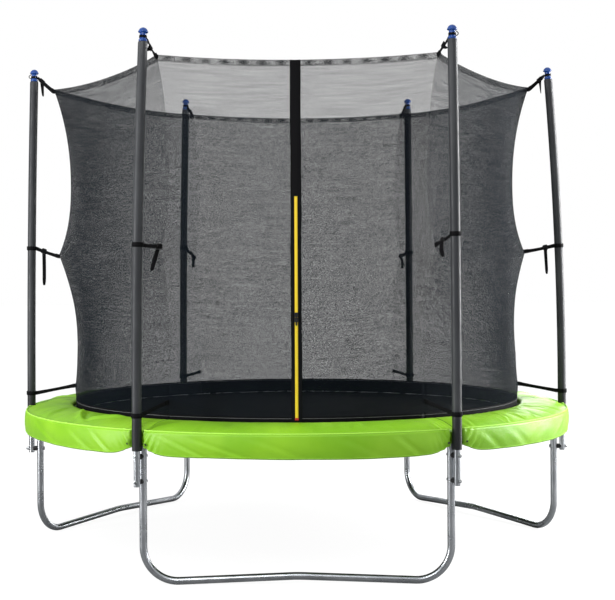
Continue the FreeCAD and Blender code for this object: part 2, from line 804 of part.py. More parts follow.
def door_radius(height):
    """How far the middle of each net panel, and so the door, is from the centre axis at a height."""
    low, hem = number("sizes.door_low_height"), number("sizes.net_hem_centre")
    low_radius, hem_radius = number("sizes.door_low_radius"), number("sizes.door_hem_radius")
    return low_radius + (hem_radius - low_radius) * (height - low) / (hem - low)


def net_surface(left, right, columns, inward):
    """A panel's face between two corners, seen from outside with its middle on -Y."""
    low_rows = [0, 0.04, 0.08, 0.13, 0.2, 0.28, 0.36, 0.42, 0.46]
    high_rows = [0.485, 0.51, 0.55, 0.62, 0.7, 0.78, 0.86, 0.93, 1]
    bottom = number("sizes.net_bottom")
    half_angle = math.radians(CORNER_STEP / 2)
    grid = []
    for row in low_rows + high_rows:
        line = []
        for column in columns:
            hem = number("sizes.net_hem_centre")
            hem += (number("sizes.net_hem_corner") - hem) * column**2
            height = bottom + (hem - bottom) * row
            left_radius = net_corner_radius(left, height)
            right_radius = net_corner_radius(right, height)
            corner = left_radius + (right_radius - left_radius) * (1 + column) / 2
            chord = (left_radius + right_radius) / 2 * math.cos(half_angle)
            across = corner * math.sin(half_angle) * column
            depth = corner * math.cos(half_angle) + (door_radius(height) - chord) * (1 - column**2)
            scale = 1 - inward / math.hypot(across, depth)
            line.append(Vector(across * scale, -depth * scale, height))
        grid.append(line)
    surface = Part.BSplineSurface()
    surface.interpolate(grid)
    return surface.toShape()


def net_solid(left, right, columns):
    """A thin solid between a panel's outer and inner faces."""
    outer = net_surface(left, right, columns, 0)
    inner = net_surface(left, right, columns, number("sizes.net_thickness"))
    faces = [outer, inner]
    for outer_edge, inner_edge in zip(outer.Edges, inner.Edges):
        faces.append(Part.makeRuledSurface(outer_edge, inner_edge))
    shell = Part.Shell(faces)
    shell.sewShape()
    solid = Part.Solid(shell)
    if solid.Volume < 0:
        solid.reverse()
    return solid


def add_net_panel(name, left, right, angle):
    """One of the six panels of the net, from the mat's edge to the hem. The door slits the front one."""
    to_corner = [0.2, 0.45, 0.7, 0.9, 0.998]
    from_corner = [-column for column in reversed(to_corner)]
    if name == "front":
        slit = 0.019
        halves = [from_corner + [-slit], [slit] + to_corner]
        shape = Part.makeCompound([net_solid(left, right, half) for half in halves])
    else:
        shape = net_solid(left, right, from_corner + [0] + to_corner)
    add_shape(f"net_panel_{name}", shape, turned(angle + 90))


def add_door_zipper():
    """The door's webbing band, from the mat to the hem, with the zip's tape on its lower part."""
    body = new_body("door_zipper")
    near = number("sizes.door_band_gap")
    front = near + number("sizes.door_band_thickness")
    teeth = front + number("sizes.zip_thickness")
    sunk = 0.5
    spans = [
        ("sizes.door_band", "sizes.net_bottom + 2", "sizes.net_hem_centre", near, front),
        ("sizes.zip_width", "sizes.zip_low", "sizes.zip_high", front - sunk, teeth),
    ]
    for width, low, high, inside, outside in spans:
        low, high = number(low), number(high)
        corners = [(low, inside), (high, inside), (high, outside), (low, outside)]
        strip = new_sketch(body, "YZ_Plane")
        draw_outline(strip, [(str(-door_radius(height) - depth), str(height)) for height, depth in corners])
        add_pad(body, strip, width, symmetric=True)


def door_frame(height, outward):
    """A placement on the door at a height, with Z along the zip and -Y outward."""
    rise = number("sizes.net_hem_centre - sizes.door_low_height")
    inset = number("sizes.door_low_radius - sizes.door_hem_radius")
    tilt = Rotation(X_AXIS, -math.degrees(math.atan2(inset, rise)))
    place = Vector(0, -door_radius(height), height) + tilt.multVec(Vector(0, -outward, 0))
    return Placement(place, tilt)


def slider_frame(direction):
    """Where a slider's middle is on the door: direction is 1 above the meeting point, -1 below."""
    front = "sizes.door_band_gap + sizes.door_band_thickness + sizes.zip_thickness + sizes.slider_gap"
    centre = number("sizes.slider_meeting") + direction * (number("sizes.slider_length") / 2 + 1)
    return door_frame(centre, number(front))


def add_zip_slider(name, direction):
    """A slider with a staple and a pin for its pull: high on the upper slider, low on the lower one."""
    body = new_body(f"zip_slider_{name}", slider_frame(direction))
    block = new_sketch(body, "XY_Plane")
    wide, deep = "sizes.slider_width / 2", "sizes.slider_thickness"
    draw_outline(
        block,
        [(f"-({wide})", "0"), (f"-({wide}) + 2", f"-{deep}"), (f"{wide} - 2", f"-{deep}"), (wide, "0")],
    )
    add_pad(body, block, "sizes.slider_length", symmetric=True)
    staple = f"{direction} * sizes.staple_height"
    posts = new_sketch(body, "XY_Plane", staple)
    for side in ("-sizes.staple_spread", "sizes.staple_spread"):
        inner, outer = f"{side} - sizes.staple_post / 2", f"{side} + sizes.staple_post / 2"
        root, tip = f"-{deep} + 0.5", f"-{deep} - sizes.staple_reach"
        draw_outline(posts, [(inner, root), (inner, tip), (outer, tip), (outer, root)])
    add_pad(body, posts, "1.5 * sizes.pull_pin", symmetric=True)
    pin = new_sketch(body, "YZ_Plane")
    draw_circle(pin, "sizes.pull_pin", f"-{deep} - sizes.pin_reach", staple)
    add_pad(body, pin, "2 * sizes.staple_spread", symmetric=True)


def add_zip_pull(name, direction):
    """A flat pull with an eye round the slider's pin. It hangs straight down."""
    pin = Vector(
        0,
        -number("sizes.slider_thickness + sizes.pin_reach"),
        direction * number("sizes.staple_height"),
    )
    body = new_body(f"zip_pull_{name}", Placement(slider_frame(direction).multVec(pin), Rotation()))
    plate = new_sketch(body, "XZ_Plane")
    neck, wide, length = "sizes.pull_neck / 2", "sizes.pull_width / 2", "sizes.pull_length"
    eye_top, shoulder, bevel = "sizes.pull_eye / 2", "-7", "3"
    draw_outline(
        plate,
        [
            (f"-{neck}", eye_top),
            (f"-{neck}", f"-{bevel}"),
            (f"-{wide}", shoulder),
            (f"-{wide}", f"-{length} + {bevel}"),
            (f"-{wide} + {bevel}", f"-{length}"),
            (f"{wide} - {bevel}", f"-{length}"),
            (wide, f"-{length} + {bevel}"),
            (wide, shoulder),
            (neck, f"-{bevel}"),
            (neck, eye_top),
        ],
    )
    add_pad(body, plate, "sizes.pull_thickness", symmetric=True)
    eye = new_sketch(body, "YZ_Plane")
    draw_circle(eye, "sizes.pull_eye")
    add_pad(body, eye, "sizes.pull_neck", symmetric=True)
    hole = new_sketch(body, "YZ_Plane")
    draw_circle(hole, "sizes.pull_hole")
    add_pocket(body, hole, "2 * sizes.pull_width", symmetric=True)


# ---------------------------------------------------------------- straps


def strap_band(start, end):
    """A strip of webbing on edge from one point to another in the XZ plane."""
    run = end - start
    width = number("sizes.strap_width")
    thick = number("sizes.strap_thickness")
    strip = Part.makeBox(run.Length, thick, width, Vector(0, -thick / 2, -width / 2))
    slope = math.degrees(math.atan2(run.z, run.x))
    strip.Placement = Placement(start, Rotation(Y_AXIS, -slope))
    return strip


def strap_shape(corner, angle, pole_height, held_radius, net_height, tail):
    """A loop round a pole or its cap's neck and a band from it to the net's corner."""
    width = number("sizes.strap_width")
    thick = number("sizes.strap_thickness")
    play = number("sizes.strap_play")
    inner = held_radius + play
    loop = Part.makeCylinder(inner + thick, width, Vector(0, 0, -width / 2))
    frame = pole_frame(corner, pole_height)
    loop.Placement = frame
    start = frame.multVec(Vector(-inner - thick / 2, 0, 0))
    end = Vector(net_corner_radius(corner, net_height) + number("sizes.strap_net_gap"), 0, net_height)
    shape = loop.fuse(strap_band(start, end))
    if tail:
        hang = end + (start - end) * 0.2
        free_end = Part.makeBox(width * 0.8, thick, tail, Vector(-width * 0.4, -thick / 2, -tail))
        free_end.Placement = Placement(hang, Rotation())
        shape = shape.fuse(free_end)
    held = Part.makeCylinder(inner, 4 * width, Vector(0, 0, -2 * width))
    held.Placement = frame
    flange_height = number("sizes.cap_flange_height + 2") + play
    flange = Part.makeCylinder(number("sizes.cap_flange") / 2 + play, flange_height)
    flange.Placement = pole_frame(corner, number("sizes.pole_top"))
    shape = shape.cut(held).cut(flange)
    shape.Placement = turned(angle).multiply(shape.Placement)
    return shape


def add_straps():
    """Three rings of webbing straps: at the caps, half way up and just above the pad."""
    sleeve = number("sizes.sleeve_tube") / 2
    neck = number("sizes.cap_neck") / 2
    neck_height = number("sizes.pole_top + (sizes.cap_flange_height + 2 + sizes.cap_neck_height) / 2") + 1
    middle, low = number("sizes.strap_middle_height"), number("sizes.strap_low_height")
    hem = number("sizes.net_hem_corner") - number("sizes.strap_width") / 2
    levels = [
        ("straps_top", neck_height, neck, hem, 0),
        ("straps_middle", middle, sleeve, number("sizes.net_strap_middle"), number("sizes.strap_tail")),
        ("straps_bottom", low, sleeve, number("sizes.net_strap_low"), 0),
    ]
    for label, pole_height, held_radius, net_height, hanging in levels:
        shapes = []
        for index, corner in enumerate(CORNERS):
            angle = index * CORNER_STEP
            shapes.append(strap_shape(corner, angle, pole_height, held_radius, net_height, hanging))
        add_shape(label, Part.makeCompound(shapes))


# ---------------------------------------------------------------- the whole trampoline


def build():
    for index, corner in enumerate(CORNERS):
        angle = index * CORNER_STEP
        add_rail(corner, angle)
        add_leg_upright(corner, angle)
        add_pole(corner, angle)
    for name, angle in [("front", 270), ("right", 30), ("left", 150)]:
        add_leg_base(name, angle)
    add_bolts()
    add_nuts()
    add_spacers()
    add_jump_mat()
    add_mat_rings()
    add_springs()
    add_spring_pad()
    panels = ["front", "front_right", "back_right", "back", "back_left", "front_left"]
    for index, name in enumerate(panels):
        left = CORNERS[(index + 4) % len(CORNERS)]
        right = CORNERS[(index + 5) % len(CORNERS)]
        add_net_panel(name, left, right, 270 + index * CORNER_STEP)
    add_door_zipper()
    for name, direction in [("upper", 1), ("lower", -1)]:
        add_zip_slider(name, direction)
        add_zip_pull(name, direction)
    add_straps()


def check():
    """Stops if any object failed, any cut removed nothing, or a part's shape is not sound."""
    for item in doc.Objects:
        if "Invalid" in item.State or "Error" in item.State:
            raise RuntimeError(f"{item.Label} did not recompute: {item.State}")
        if item.TypeId in ("PartDesign::Pocket", "PartDesign::Groove"):
            if item.BaseFeature.Shape.Volume - item.Shape.Volume < 1:
                raise RuntimeError(f"{item.Label} cuts nothing")
    for part in parts:
        if part.Shape.isNull() or not part.Shape.isValid() or not part.Shape.Solids:
            raise RuntimeError(f"{part.Label} has no sound shape")


build()
doc.recompute()
check()
os.makedirs("parts", exist_ok=True)
for part in parts:
    part.Shape.exportStep(f"parts/{part.Label}.step")
print(len(parts), "parts")
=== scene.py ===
import json
import math

import bpy
import numpy as np
from mathutils import Matrix, Vector, noise


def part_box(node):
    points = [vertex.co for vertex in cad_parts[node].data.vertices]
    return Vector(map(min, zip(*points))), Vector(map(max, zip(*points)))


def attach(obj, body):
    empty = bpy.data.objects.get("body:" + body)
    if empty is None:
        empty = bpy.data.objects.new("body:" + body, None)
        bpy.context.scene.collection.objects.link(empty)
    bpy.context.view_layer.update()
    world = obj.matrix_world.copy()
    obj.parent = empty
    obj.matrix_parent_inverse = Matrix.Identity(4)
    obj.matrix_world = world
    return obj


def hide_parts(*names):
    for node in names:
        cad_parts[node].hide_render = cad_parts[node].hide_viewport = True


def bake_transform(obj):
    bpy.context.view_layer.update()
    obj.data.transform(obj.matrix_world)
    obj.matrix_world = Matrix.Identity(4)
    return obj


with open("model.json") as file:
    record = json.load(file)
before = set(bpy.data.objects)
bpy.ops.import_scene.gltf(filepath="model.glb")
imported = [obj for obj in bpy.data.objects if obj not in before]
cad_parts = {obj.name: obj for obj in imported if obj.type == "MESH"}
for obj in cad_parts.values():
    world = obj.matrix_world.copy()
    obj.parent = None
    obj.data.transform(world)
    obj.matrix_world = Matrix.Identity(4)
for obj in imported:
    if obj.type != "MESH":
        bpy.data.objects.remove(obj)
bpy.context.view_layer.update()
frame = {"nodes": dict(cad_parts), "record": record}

CORNERS = ["right", "back_right", "back_left", "left", "front_left", "front_right"]
PANELS = ["front", "front_right", "back_right", "back", "back_left", "front_left"]
STEP = math.radians(60)
SPRINGS, SPRING_STEP = 48, math.radians(7.5)
# How far each pole's top stands in from its foot.
LEAN = dict(zip(CORNERS, (0.058, 0.011, 0.043, 0.019, 0.051, 0.019)))
POLE_RADIUS, LEAN_START, POLE_TOP = 1.244, 0.660, 2.126
SLEEVE = 0.019
CAP_NECK = 0.013
NECK_HEIGHT = 2.1450
NET_BOTTOM, NET_HEM_MIDDLE, NET_HEM_CORNER = 0.585, 2.064, 2.088
STRAP_LOW, WAIST_LOW, STRAP_MIDDLE, WAIST_HIGH = 0.700, 0.850, 1.311, 1.640
HEM_RADIUS, WAIST_HIGH_RADIUS, MIDDLE_RADIUS = 1.152, 1.0745, 1.131
WAIST_LOW_RADIUS, LOW_RADIUS, FOOT_RADIUS = 1.021, 1.034, 1.015
DOOR_LOW, DOOR_LOW_RADIUS, DOOR_HEM_RADIUS = 0.620, 1.021, 0.958
ZIP_LOW, ZIP_HIGH = 0.645, 1.520
PAD_UV_RADIUS = 1.14


# ---- mesh building


class Pile:
    """Gathers several meshes into one piece."""

    def __init__(self):
        self.verts, self.faces, self.uvs, self.count = [], [], [], 0

    def add(self, verts, faces, uvs=None):
        verts = np.asarray(verts, float).reshape(-1, 3)
        self.verts.append(verts)
        self.uvs.append(np.zeros((len(verts), 2)) if uvs is None else np.asarray(uvs, float).reshape(-1, 2))
        self.faces.extend([tuple(i + self.count for i in face) for face in faces])
        self.count += len(verts)
        return self

    def make(self, name, finish, smooth=True, sharp=None):
        mesh = bpy.data.meshes.new(name)
        verts, uvs = np.concatenate(self.verts), np.concatenate(self.uvs)
        mesh.from_pydata(verts.tolist(), [], self.faces)
        layer = mesh.uv_layers.new(name="UVMap")
        loops = np.zeros(len(mesh.loops), dtype=np.int64)
        mesh.loops.foreach_get("vertex_index", loops)
        layer.data.foreach_set("uv", uvs[loops].ravel())
        mesh.polygons.foreach_set("use_smooth", [smooth] * len(mesh.polygons))
        mesh.materials.append(finish)
        mesh.validate()
        mesh.update()
        piece = bpy.data.objects.new(name, mesh)
        bpy.context.scene.collection.objects.link(piece)
        if sharp:
            mesh.set_sharp_from_angle(angle=math.radians(sharp))
        return piece


def grid_faces(rows, cols, wrap_rows=False, wrap_cols=False, flip=False, first=0):
    faces = []
    for i in range(rows if wrap_rows else rows - 1):
        below = (i + 1) % rows
        for j in range(cols if wrap_cols else cols - 1):
            beside = (j + 1) % cols
            face = (i * cols + j, i * cols + beside, below * cols + beside, below * cols + j)
            face = tuple(first + v for v in face)
            faces.append(face[::-1] if flip else face)
    return faces


def grid_normals(points, wrap_cols=False):
    down = np.gradient(points, axis=0)
    if wrap_cols:
        along = (np.roll(points, -1, axis=1) - np.roll(points, 1, axis=1)) / 2
    else:
        along = np.gradient(points, axis=1)
    normals = np.cross(along, down)
    return normals / np.maximum(np.linalg.norm(normals, axis=2, keepdims=True), 1e-12)


def shell(points, uvs, thick, wrap_cols=False):
    """A closed thin sheet about a grid of points. thick is a number or a grid of numbers."""
    rows, cols, _ = points.shape
    offset = grid_normals(points, wrap_cols) * np.asarray(thick)[..., None] / 2
    verts = np.concatenate([(points + offset).reshape(-1, 3), (points - offset).reshape(-1, 3)])
    size = rows * cols
    faces = grid_faces(rows, cols, wrap_cols=wrap_cols)
    faces += grid_faces(rows, cols, wrap_cols=wrap_cols, flip=True, first=size)
    for j in range(cols if wrap_cols else cols - 1):
        k = (j + 1) % cols
        faces.append((k, j, size + j, size + k))
        low = (rows - 1) * cols
        faces.append((low + j, low + k, size + low + k, size + low + j))
    if not wrap_cols:
        for i in range(rows - 1):
            a, b = i * cols, (i + 1) * cols
            faces.append((a, b, size + b, size + a))
            a, b = a + cols - 1, b + cols - 1
            faces.append((b, a, size + a, size + b))
    return verts, faces, np.concatenate([uvs.reshape(-1, 2)] * 2)


def tube(path, radius, sides=8, closed=False):
    """A round tube along a path, with flat ends. radius is a number or one for each point."""
    path = np.asarray(path, float)
    count = len(path)
    radii = np.broadcast_to(np.asarray(radius, float), (count,))
    if closed:
        tangents = np.roll(path, -1, axis=0) - np.roll(path, 1, axis=0)
    else:
        tangents = np.gradient(path, axis=0)
    tangents /= np.linalg.norm(tangents, axis=1, keepdims=True)
    guide = np.array([0, 0, 1.0]) if abs(tangents[0][2]) < 0.9 else np.array([1.0, 0, 0])
    across = np.cross(tangents[0], guide)
    angles = np.arange(sides) / sides * 2 * math.pi
    verts = []
    for place, tangent, r in zip(path, tangents, radii):
        across = across - tangent * np.dot(across, tangent)
        across /= np.linalg.norm(across)
        up = np.cross(tangent, across)
        verts.append(place + r * (np.outer(np.cos(angles), across) + np.outer(np.sin(angles), up)))
    faces = grid_faces(count, sides, wrap_rows=closed, wrap_cols=True)
    if not closed:
        faces.append(tuple(range(sides)))
        faces.append(tuple(range(count * sides - 1, (count - 1) * sides - 1, -1)))
    return np.concatenate(verts), faces


def ribbon(path, across, width, thick):
    """Webbing along a path, with rounded edges. across is the direction of its width at each point."""
    path = np.asarray(path, float)
    across = np.broadcast_to(np.asarray(across, float), path.shape)
    width = np.broadcast_to(np.asarray(width, float), (len(path),))
    tangents = np.gradient(path, axis=0)
    tangents /= np.linalg.norm(tangents, axis=1, keepdims=True)
    across = across - tangents * np.sum(across * tangents, axis=1, keepdims=True)
    across /= np.linalg.norm(across, axis=1, keepdims=True)
    out = np.cross(tangents, across)
    run = np.concatenate([[0], np.cumsum(np.linalg.norm(np.diff(path, axis=0), axis=1))])
    section = [(-0.5, -0.3), (-0.5, 0.3), (-0.46, 0.5), (0.46, 0.5)]
    section += [(-s, -t) for s, t in section]
    verts, uvs = [], []
    for i, place in enumerate(path):
        for s, t in section:
            verts.append(place + across[i] * s * width[i] + out[i] * t * thick)
            uvs.append((s * width[i], run[i]))
    sides = len(section)
    faces = grid_faces(len(path), sides, wrap_cols=True, flip=True)
    faces.append(tuple(range(sides - 1, -1, -1)))
    faces.append(tuple(range((len(path) - 1) * sides, len(path) * sides)))
    return np.array(verts), faces, np.array(uvs)


def block(centre, axes, size):
    """A box: its centre, three unit axes and its full sizes along them."""
    axes = np.asarray(axes, float) * np.asarray(size, float)[:, None] / 2
    signs = [(x, y, z) for z in (-1, 1) for x, y in ((-1, -1), (1, -1), (1, 1), (-1, 1))]
    verts = [np.asarray(centre, float) + sum(s * a for s, a in zip(sign, axes)) for sign in signs]
    return verts, [(3, 2, 1, 0), (4, 5, 6, 7), (0, 1, 5, 4), (1, 2, 6, 5), (2, 3, 7, 6), (3, 0, 4, 7)]


def smoothstep(low, high, value):
    share = np.clip((np.asarray(value, float) - low) / (high - low), 0, 1)
    return share * share * (3 - 2 * share)


def spun(points, angle):
    """Points turned about Z."""
    points = np.asarray(points, float)
    c, s = math.cos(angle), math.sin(angle)
    return points @ np.array([[c, s, 0], [-s, c, 0], [0, 0, 1.0]])


def polar(radius, angle, height):
    return np.stack(np.broadcast_arrays(radius * np.cos(angle), radius * np.sin(angle), height), axis=-1)


def settle(piece, body):
    """Puts a piece on its body."""
    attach(piece, body)


# ---- materials


class Finish:
    """A node material: a Principled shader with helpers for its colour, relief and roughness."""

    def __init__(self, name, color, roughness, metallic=0.0, **sockets):
        self.material = bpy.data.materials.new(name)
        self.material.use_nodes = True
        self.tree = self.material.node_tree
        self.shader = self.tree.nodes["Principled BSDF"]
        self.set("Base Color", (*color, 1))
        self.set("Roughness", roughness)
        self.set("Metallic", metallic)
        for socket, value in sockets.items():
            self.set(socket.replace("_", " "), value)

    def set(self, socket, value):
        self.shader.inputs[socket].default_value = value

    def node(self, kind, **inputs):
        node = self.tree.nodes.new(kind)
        for name, value in inputs.items():
            if hasattr(node, name) and name not in node.inputs:
                setattr(node, name, value)
            else:
                self.feed(node.inputs[name.replace("_", " ")], value)
        return node

    def feed(self, socket, value):
        if isinstance(value, bpy.types.NodeSocket):
            self.tree.links.new(value, socket)
        else:
            socket.default_value = value

    def math(self, operation, a, b=None, c=None):
        node = self.tree.nodes.new("ShaderNodeMath")
        node.operation = operation
        for socket, value in zip(node.inputs, (a, b, c)):
            if value is not None:
                self.feed(socket, value)
        return node.outputs[0]

    def place(self, kind="Object"):
        return self.node("ShaderNodeTexCoord").outputs[kind]

    def stretched(self, x, y, z, kind="Object"):
        mapping = self.node("ShaderNodeMapping", Vector=self.place(kind))
        mapping.inputs["Scale"].default_value = (x, y, z)
        return mapping.outputs[0]

    def noise(self, scale, detail=3.0, coordinates=None):
        place = coordinates or self.place()
        return self.node("ShaderNodeTexNoise", Vector=place, Scale=scale, Detail=detail).outputs["Fac"]

    def flat_noise(self, scale, detail, place):
        """Noise over the UV map."""
        sockets = dict(Vector=place, Scale=scale, Detail=detail)
        return self.node("ShaderNodeTexNoise", noise_dimensions="2D", **sockets)

    def wave(self, value, length):
        return self.math("SINE", self.math("MULTIPLY", value, 2 * math.pi / length))

    def weave(self, u, v, pitch):
        return self.math("MULTIPLY", self.wave(u, pitch), self.wave(v, pitch))

    def lifted(self, value):
        """A wave from -1 to 1, moved to 0 to 1."""
        return self.math("MULTIPLY_ADD", value, 0.5, 0.5)

    def line(self, value, place, half_width):
        """1 within half_width of the place, 0 elsewhere."""
        away = self.math("ABSOLUTE", self.math("SUBTRACT", value, place))
        return self.math("LESS_THAN", away, half_width)

    def dashes(self, value, gap):
        """Stitches along value, 160 to each unit of it."""
        return self.math("GREATER_THAN", self.math("FRACT", self.math("MULTIPLY", value, 160.0)), gap)

    def spread(self, value, low, high, to_low=0.0, to_high=1.0):
        node = self.tree.nodes.new("ShaderNodeMapRange")
        node.interpolation_type = "SMOOTHSTEP"
        for socket, number in zip(node.inputs, (value, low, high, to_low, to_high)):
            self.feed(socket, number)
        return node.outputs[0]

    def mix(self, factor, first, second):
        node = self.tree.nodes.new("ShaderNodeMix")
        node.data_type = "RGBA"
        self.feed(node.inputs["Factor"], factor)
        for index, value in ((6, first), (7, second)):
            self.feed(node.inputs[index], value if isinstance(value, bpy.types.NodeSocket) else (*value, 1))
        return node.outputs[2]

    def colour(self, socket):
        self.tree.links.new(socket, self.shader.inputs["Base Color"])
        return self

    def rough(self, socket):
        self.tree.links.new(socket, self.shader.inputs["Roughness"])
        return self

    def relief(self, height, strength, distance):
        bump = self.node("ShaderNodeBump", Height=height)
        bump.inputs["Strength"].default_value = strength
        bump.inputs["Distance"].default_value = distance
        self.tree.links.new(bump.outputs[0], self.shader.inputs["Normal"])
        return self

    def flat(self):
        """(u, v) of the UV map, in metres."""
        split = self.node("ShaderNodeSeparateXYZ", Vector=self.place("UV"))
        return split.outputs[0], split.outputs[1]


def galvanised():
    """Zinc-coated tube: cloudy dull patches and faint lengthwise draw marks."""
    f = Finish("galvanised_steel", (0.5, 0.52, 0.54), 0.3, 1.0)
    f.colour(f.mix(f.spread(f.noise(9, 4), 0.3, 0.7), (0.38, 0.40, 0.425), (0.54, 0.56, 0.585)))
    f.rough(f.spread(f.noise(14, 3), 0.3, 0.7, 0.26, 0.33))
    f.relief(f.noise(40, 2, f.stretched(1, 1, 0.3)), 0.02, 0.0004)
    return f.material


def speckled(name, colour, roughness, metallic, speckle, low, high, relief, **sockets):
    """A plain finish with fine variation. speckle is its colour noise's scale and detail.
    relief is its bump's scale, strength and distance."""
    f = Finish(name, colour, roughness, metallic, **sockets)
    f.colour(f.mix(f.noise(*speckle), low, high))
    scale, strength, distance = relief
    f.relief(f.noise(scale, 2), strength, distance)
    return f.material


def thread_line(name, colour):
    low, high = tuple(c * 0.8 for c in colour), tuple(min(c * 1.2, 1) for c in colour)
    return speckled(name, colour, 0.6, 0.0, (300, 2), low, high, (1500, 0.3, 0.0003))


def sleeve_skin():
    f = Finish("sleeve_skin", (0.055, 0.057, 0.062), 0.45, Specular_IOR_Level=0.35)
    height = f.node("ShaderNodeSeparateXYZ", Vector=f.place()).outputs[2]
    worn = f.noise(9, 4, f.stretched(1, 1, 0.35))
    tone = f.mix(f.spread(worn, 0.35, 0.7), (0.029, 0.031, 0.035), (0.049, 0.052, 0.056))
    f.colour(f.mix(f.spread(height, 0.62, 0.72), (0.013, 0.014, 0.016), tone))
    f.rough(f.spread(f.noise(30, 3), 0.3, 0.7, 0.42, 0.58))
    creases, grain = f.noise(60, 4, f.stretched(1, 1, 0.25)), f.math("MULTIPLY", f.noise(700, 2), 0.3)
    f.relief(f.math("ADD", creases, grain), 0.3, 0.0012)
    return f.material


def webbing():
    """Woven webbing: ribs across its length, a fine twill along them."""
    f = Finish("black_webbing", (0.007, 0.007, 0.008), 0.8, Specular_IOR_Level=0.1)
    u, v = f.flat()
    ribs = f.wave(v, 0.0021)
    twill = f.wave(f.math("ADD", u, f.math("MULTIPLY", v, 0.5)), 0.0016)
    weave = f.lifted(f.math("MULTIPLY", ribs, twill))
    f.colour(f.mix(weave, (0.002, 0.002, 0.0025), (0.007, 0.007, 0.008)))
    f.relief(weave, 0.5, 0.0005)
    return f.material


# How far the mesh's lines wander from straight, in metres.
NET_WANDER = 0.0036


def net_mesh(name, period, threshold, soft, thread):
    """Knitted mesh: staggered holes in dark thread, a little uneven, in tighter and looser rows."""
    f = Finish(name, thread, 0.9, Specular_IOR_Level=0.05)
    u, v = f.flat()
    drift = f.flat_noise(145.0, 0.0, f.place("UV")).outputs["Color"]
    wander = f.node("ShaderNodeSeparateXYZ", Vector=drift)
    u = f.math("MULTIPLY_ADD", wander.outputs[0], NET_WANDER, u)
    v = f.math("MULTIPLY_ADD", wander.outputs[1], NET_WANDER, v)
    waves = []
    for value, length in zip((u, v), period):
        waves.append(f.math("COSINE", f.math("MULTIPLY", value, 2 * math.pi / length)))
    rows = f.flat_noise(1.0, 1.0, f.stretched(5, 125, 1, "UV"))
    tight = f.math("MULTIPLY_ADD", rows.outputs["Fac"], 0.30, -0.15)
    lattice = f.math("ADD", f.math("MULTIPLY", *waves), tight)
    cover = f.spread(lattice, threshold - soft, threshold + soft, 1.0, 0.0)
    dust = f.noise(5, 3)
    f.colour(f.mix(dust, tuple(c * 0.8 for c in thread), tuple(c * 1.25 for c in thread)))
    f.relief(cover, 0.4, 0.0004)
    f.tree.links.new(cover, f.shader.inputs["Alpha"])
    return f.material


def mat_weave():
    """The mat's woven cloth, with three rows of stitches round its edge."""
    f = Finish("mat_weave", (0.008, 0.008, 0.009), 0.68, Specular_IOR_Level=0.08)
    split = f.node("ShaderNodeSeparateXYZ", Vector=f.place())
    x, y = split.outputs[0], split.outputs[1]
    weave = f.lifted(f.weave(x, y, 0.0032))
    radius = f.math("SQRT", f.math("ADD", f.math("MULTIPLY", x, x), f.math("MULTIPLY", y, y)))
    turn = f.math("ARCTAN2", y, x)
    rows = 0.0
    for circle in (0.989, 1.001, 1.019):
        rows = f.math("MAXIMUM", f.line(radius, circle, 0.0009), rows)
    stitch = f.math("MULTIPLY", rows, f.dashes(turn, 0.3))
    cloth = f.mix(weave, (0.002, 0.002, 0.0025), (0.006, 0.006, 0.007))
    cloth = f.mix(f.math("MULTIPLY", f.noise(3, 3), 0.4), cloth, (0.008, 0.008, 0.009))
    f.colour(f.mix(stitch, cloth, (0.16, 0.16, 0.17)))
    f.relief(f.math("ADD", weave, f.math("MULTIPLY", stitch, 1.5)), 0.4, 0.0005)
    return f.material


def band_cloth():
    """The net's bottom band, with a pale row of stitches along its top."""
    f = Finish("band_cloth", (0.007, 0.007, 0.008), 0.75, Specular_IOR_Level=0.06)
    u, v = f.flat()
    weave = f.lifted(f.weave(u, v, 0.002))
    stitch = f.math("MULTIPLY", f.line(v, 0.060, 0.0008), f.dashes(u, 0.28))
    cloth = f.mix(weave, (0.002, 0.002, 0.0025), (0.006, 0.006, 0.007))
    f.colour(f.mix(stitch, cloth, (0.2, 0.2, 0.21)))
    f.relief(f.math("ADD", weave, stitch), 0.4, 0.0004)
    return f.material


def pad_vinyl():
    """Coated cloth: a fine woven grain under a soft gloss, with painted shade in the gathers beside the
    poles.
    """
    f = Finish("pad_vinyl", (0.24, 0.56, 0.02), 0.42, Specular_IOR_Level=0.45)
    cloud = f.spread(f.noise(3.5, 4), 0.35, 0.7)
    cloth = f.mix(cloud, (0.200, 0.480, 0.006), (0.275, 0.575, 0.016))
    u, v = f.flat()
    # Painted shade: within a few centimetres of each pole, the skirt and the outer part of the top are
    # darkened where the gathers fold.
    beside_pole = f.math("PINGPONG", u, PAD_UV_RADIUS * STEP / 2)
    gather_painted_shade = f.math("MULTIPLY", f.spread(beside_pole, 0.012, 0.055, 1.0, 0.0), f.spread(v, 0.22, 0.34))
    gather_painted_shade = f.math("MULTIPLY", gather_painted_shade, f.spread(f.noise(45, 3), 0.3, 0.65, 0.25, 0.9))
    f.colour(f.mix(gather_painted_shade, cloth, (0.075, 0.21, 0.003)))
    f.rough(f.spread(f.noise(12, 3), 0.3, 0.7, 0.38, 0.50))
    grain = f.math("MULTIPLY", f.weave(u, v, 0.0018), 0.04)
    f.relief(f.math("ADD", grain, f.noise(16, 5)), 0.35, 0.004)
    return f.material


def zip_cloth():
    f = Finish("zip_cloth", (0.86, 0.60, 0.012), 0.5)
    ribs = f.lifted(f.wave(f.flat()[0], 0.0012))
    f.colour(f.mix(ribs, (0.74, 0.50, 0.006), (0.93, 0.68, 0.02)))
    f.relief(ribs, 0.4, 0.0003)
    return f.material


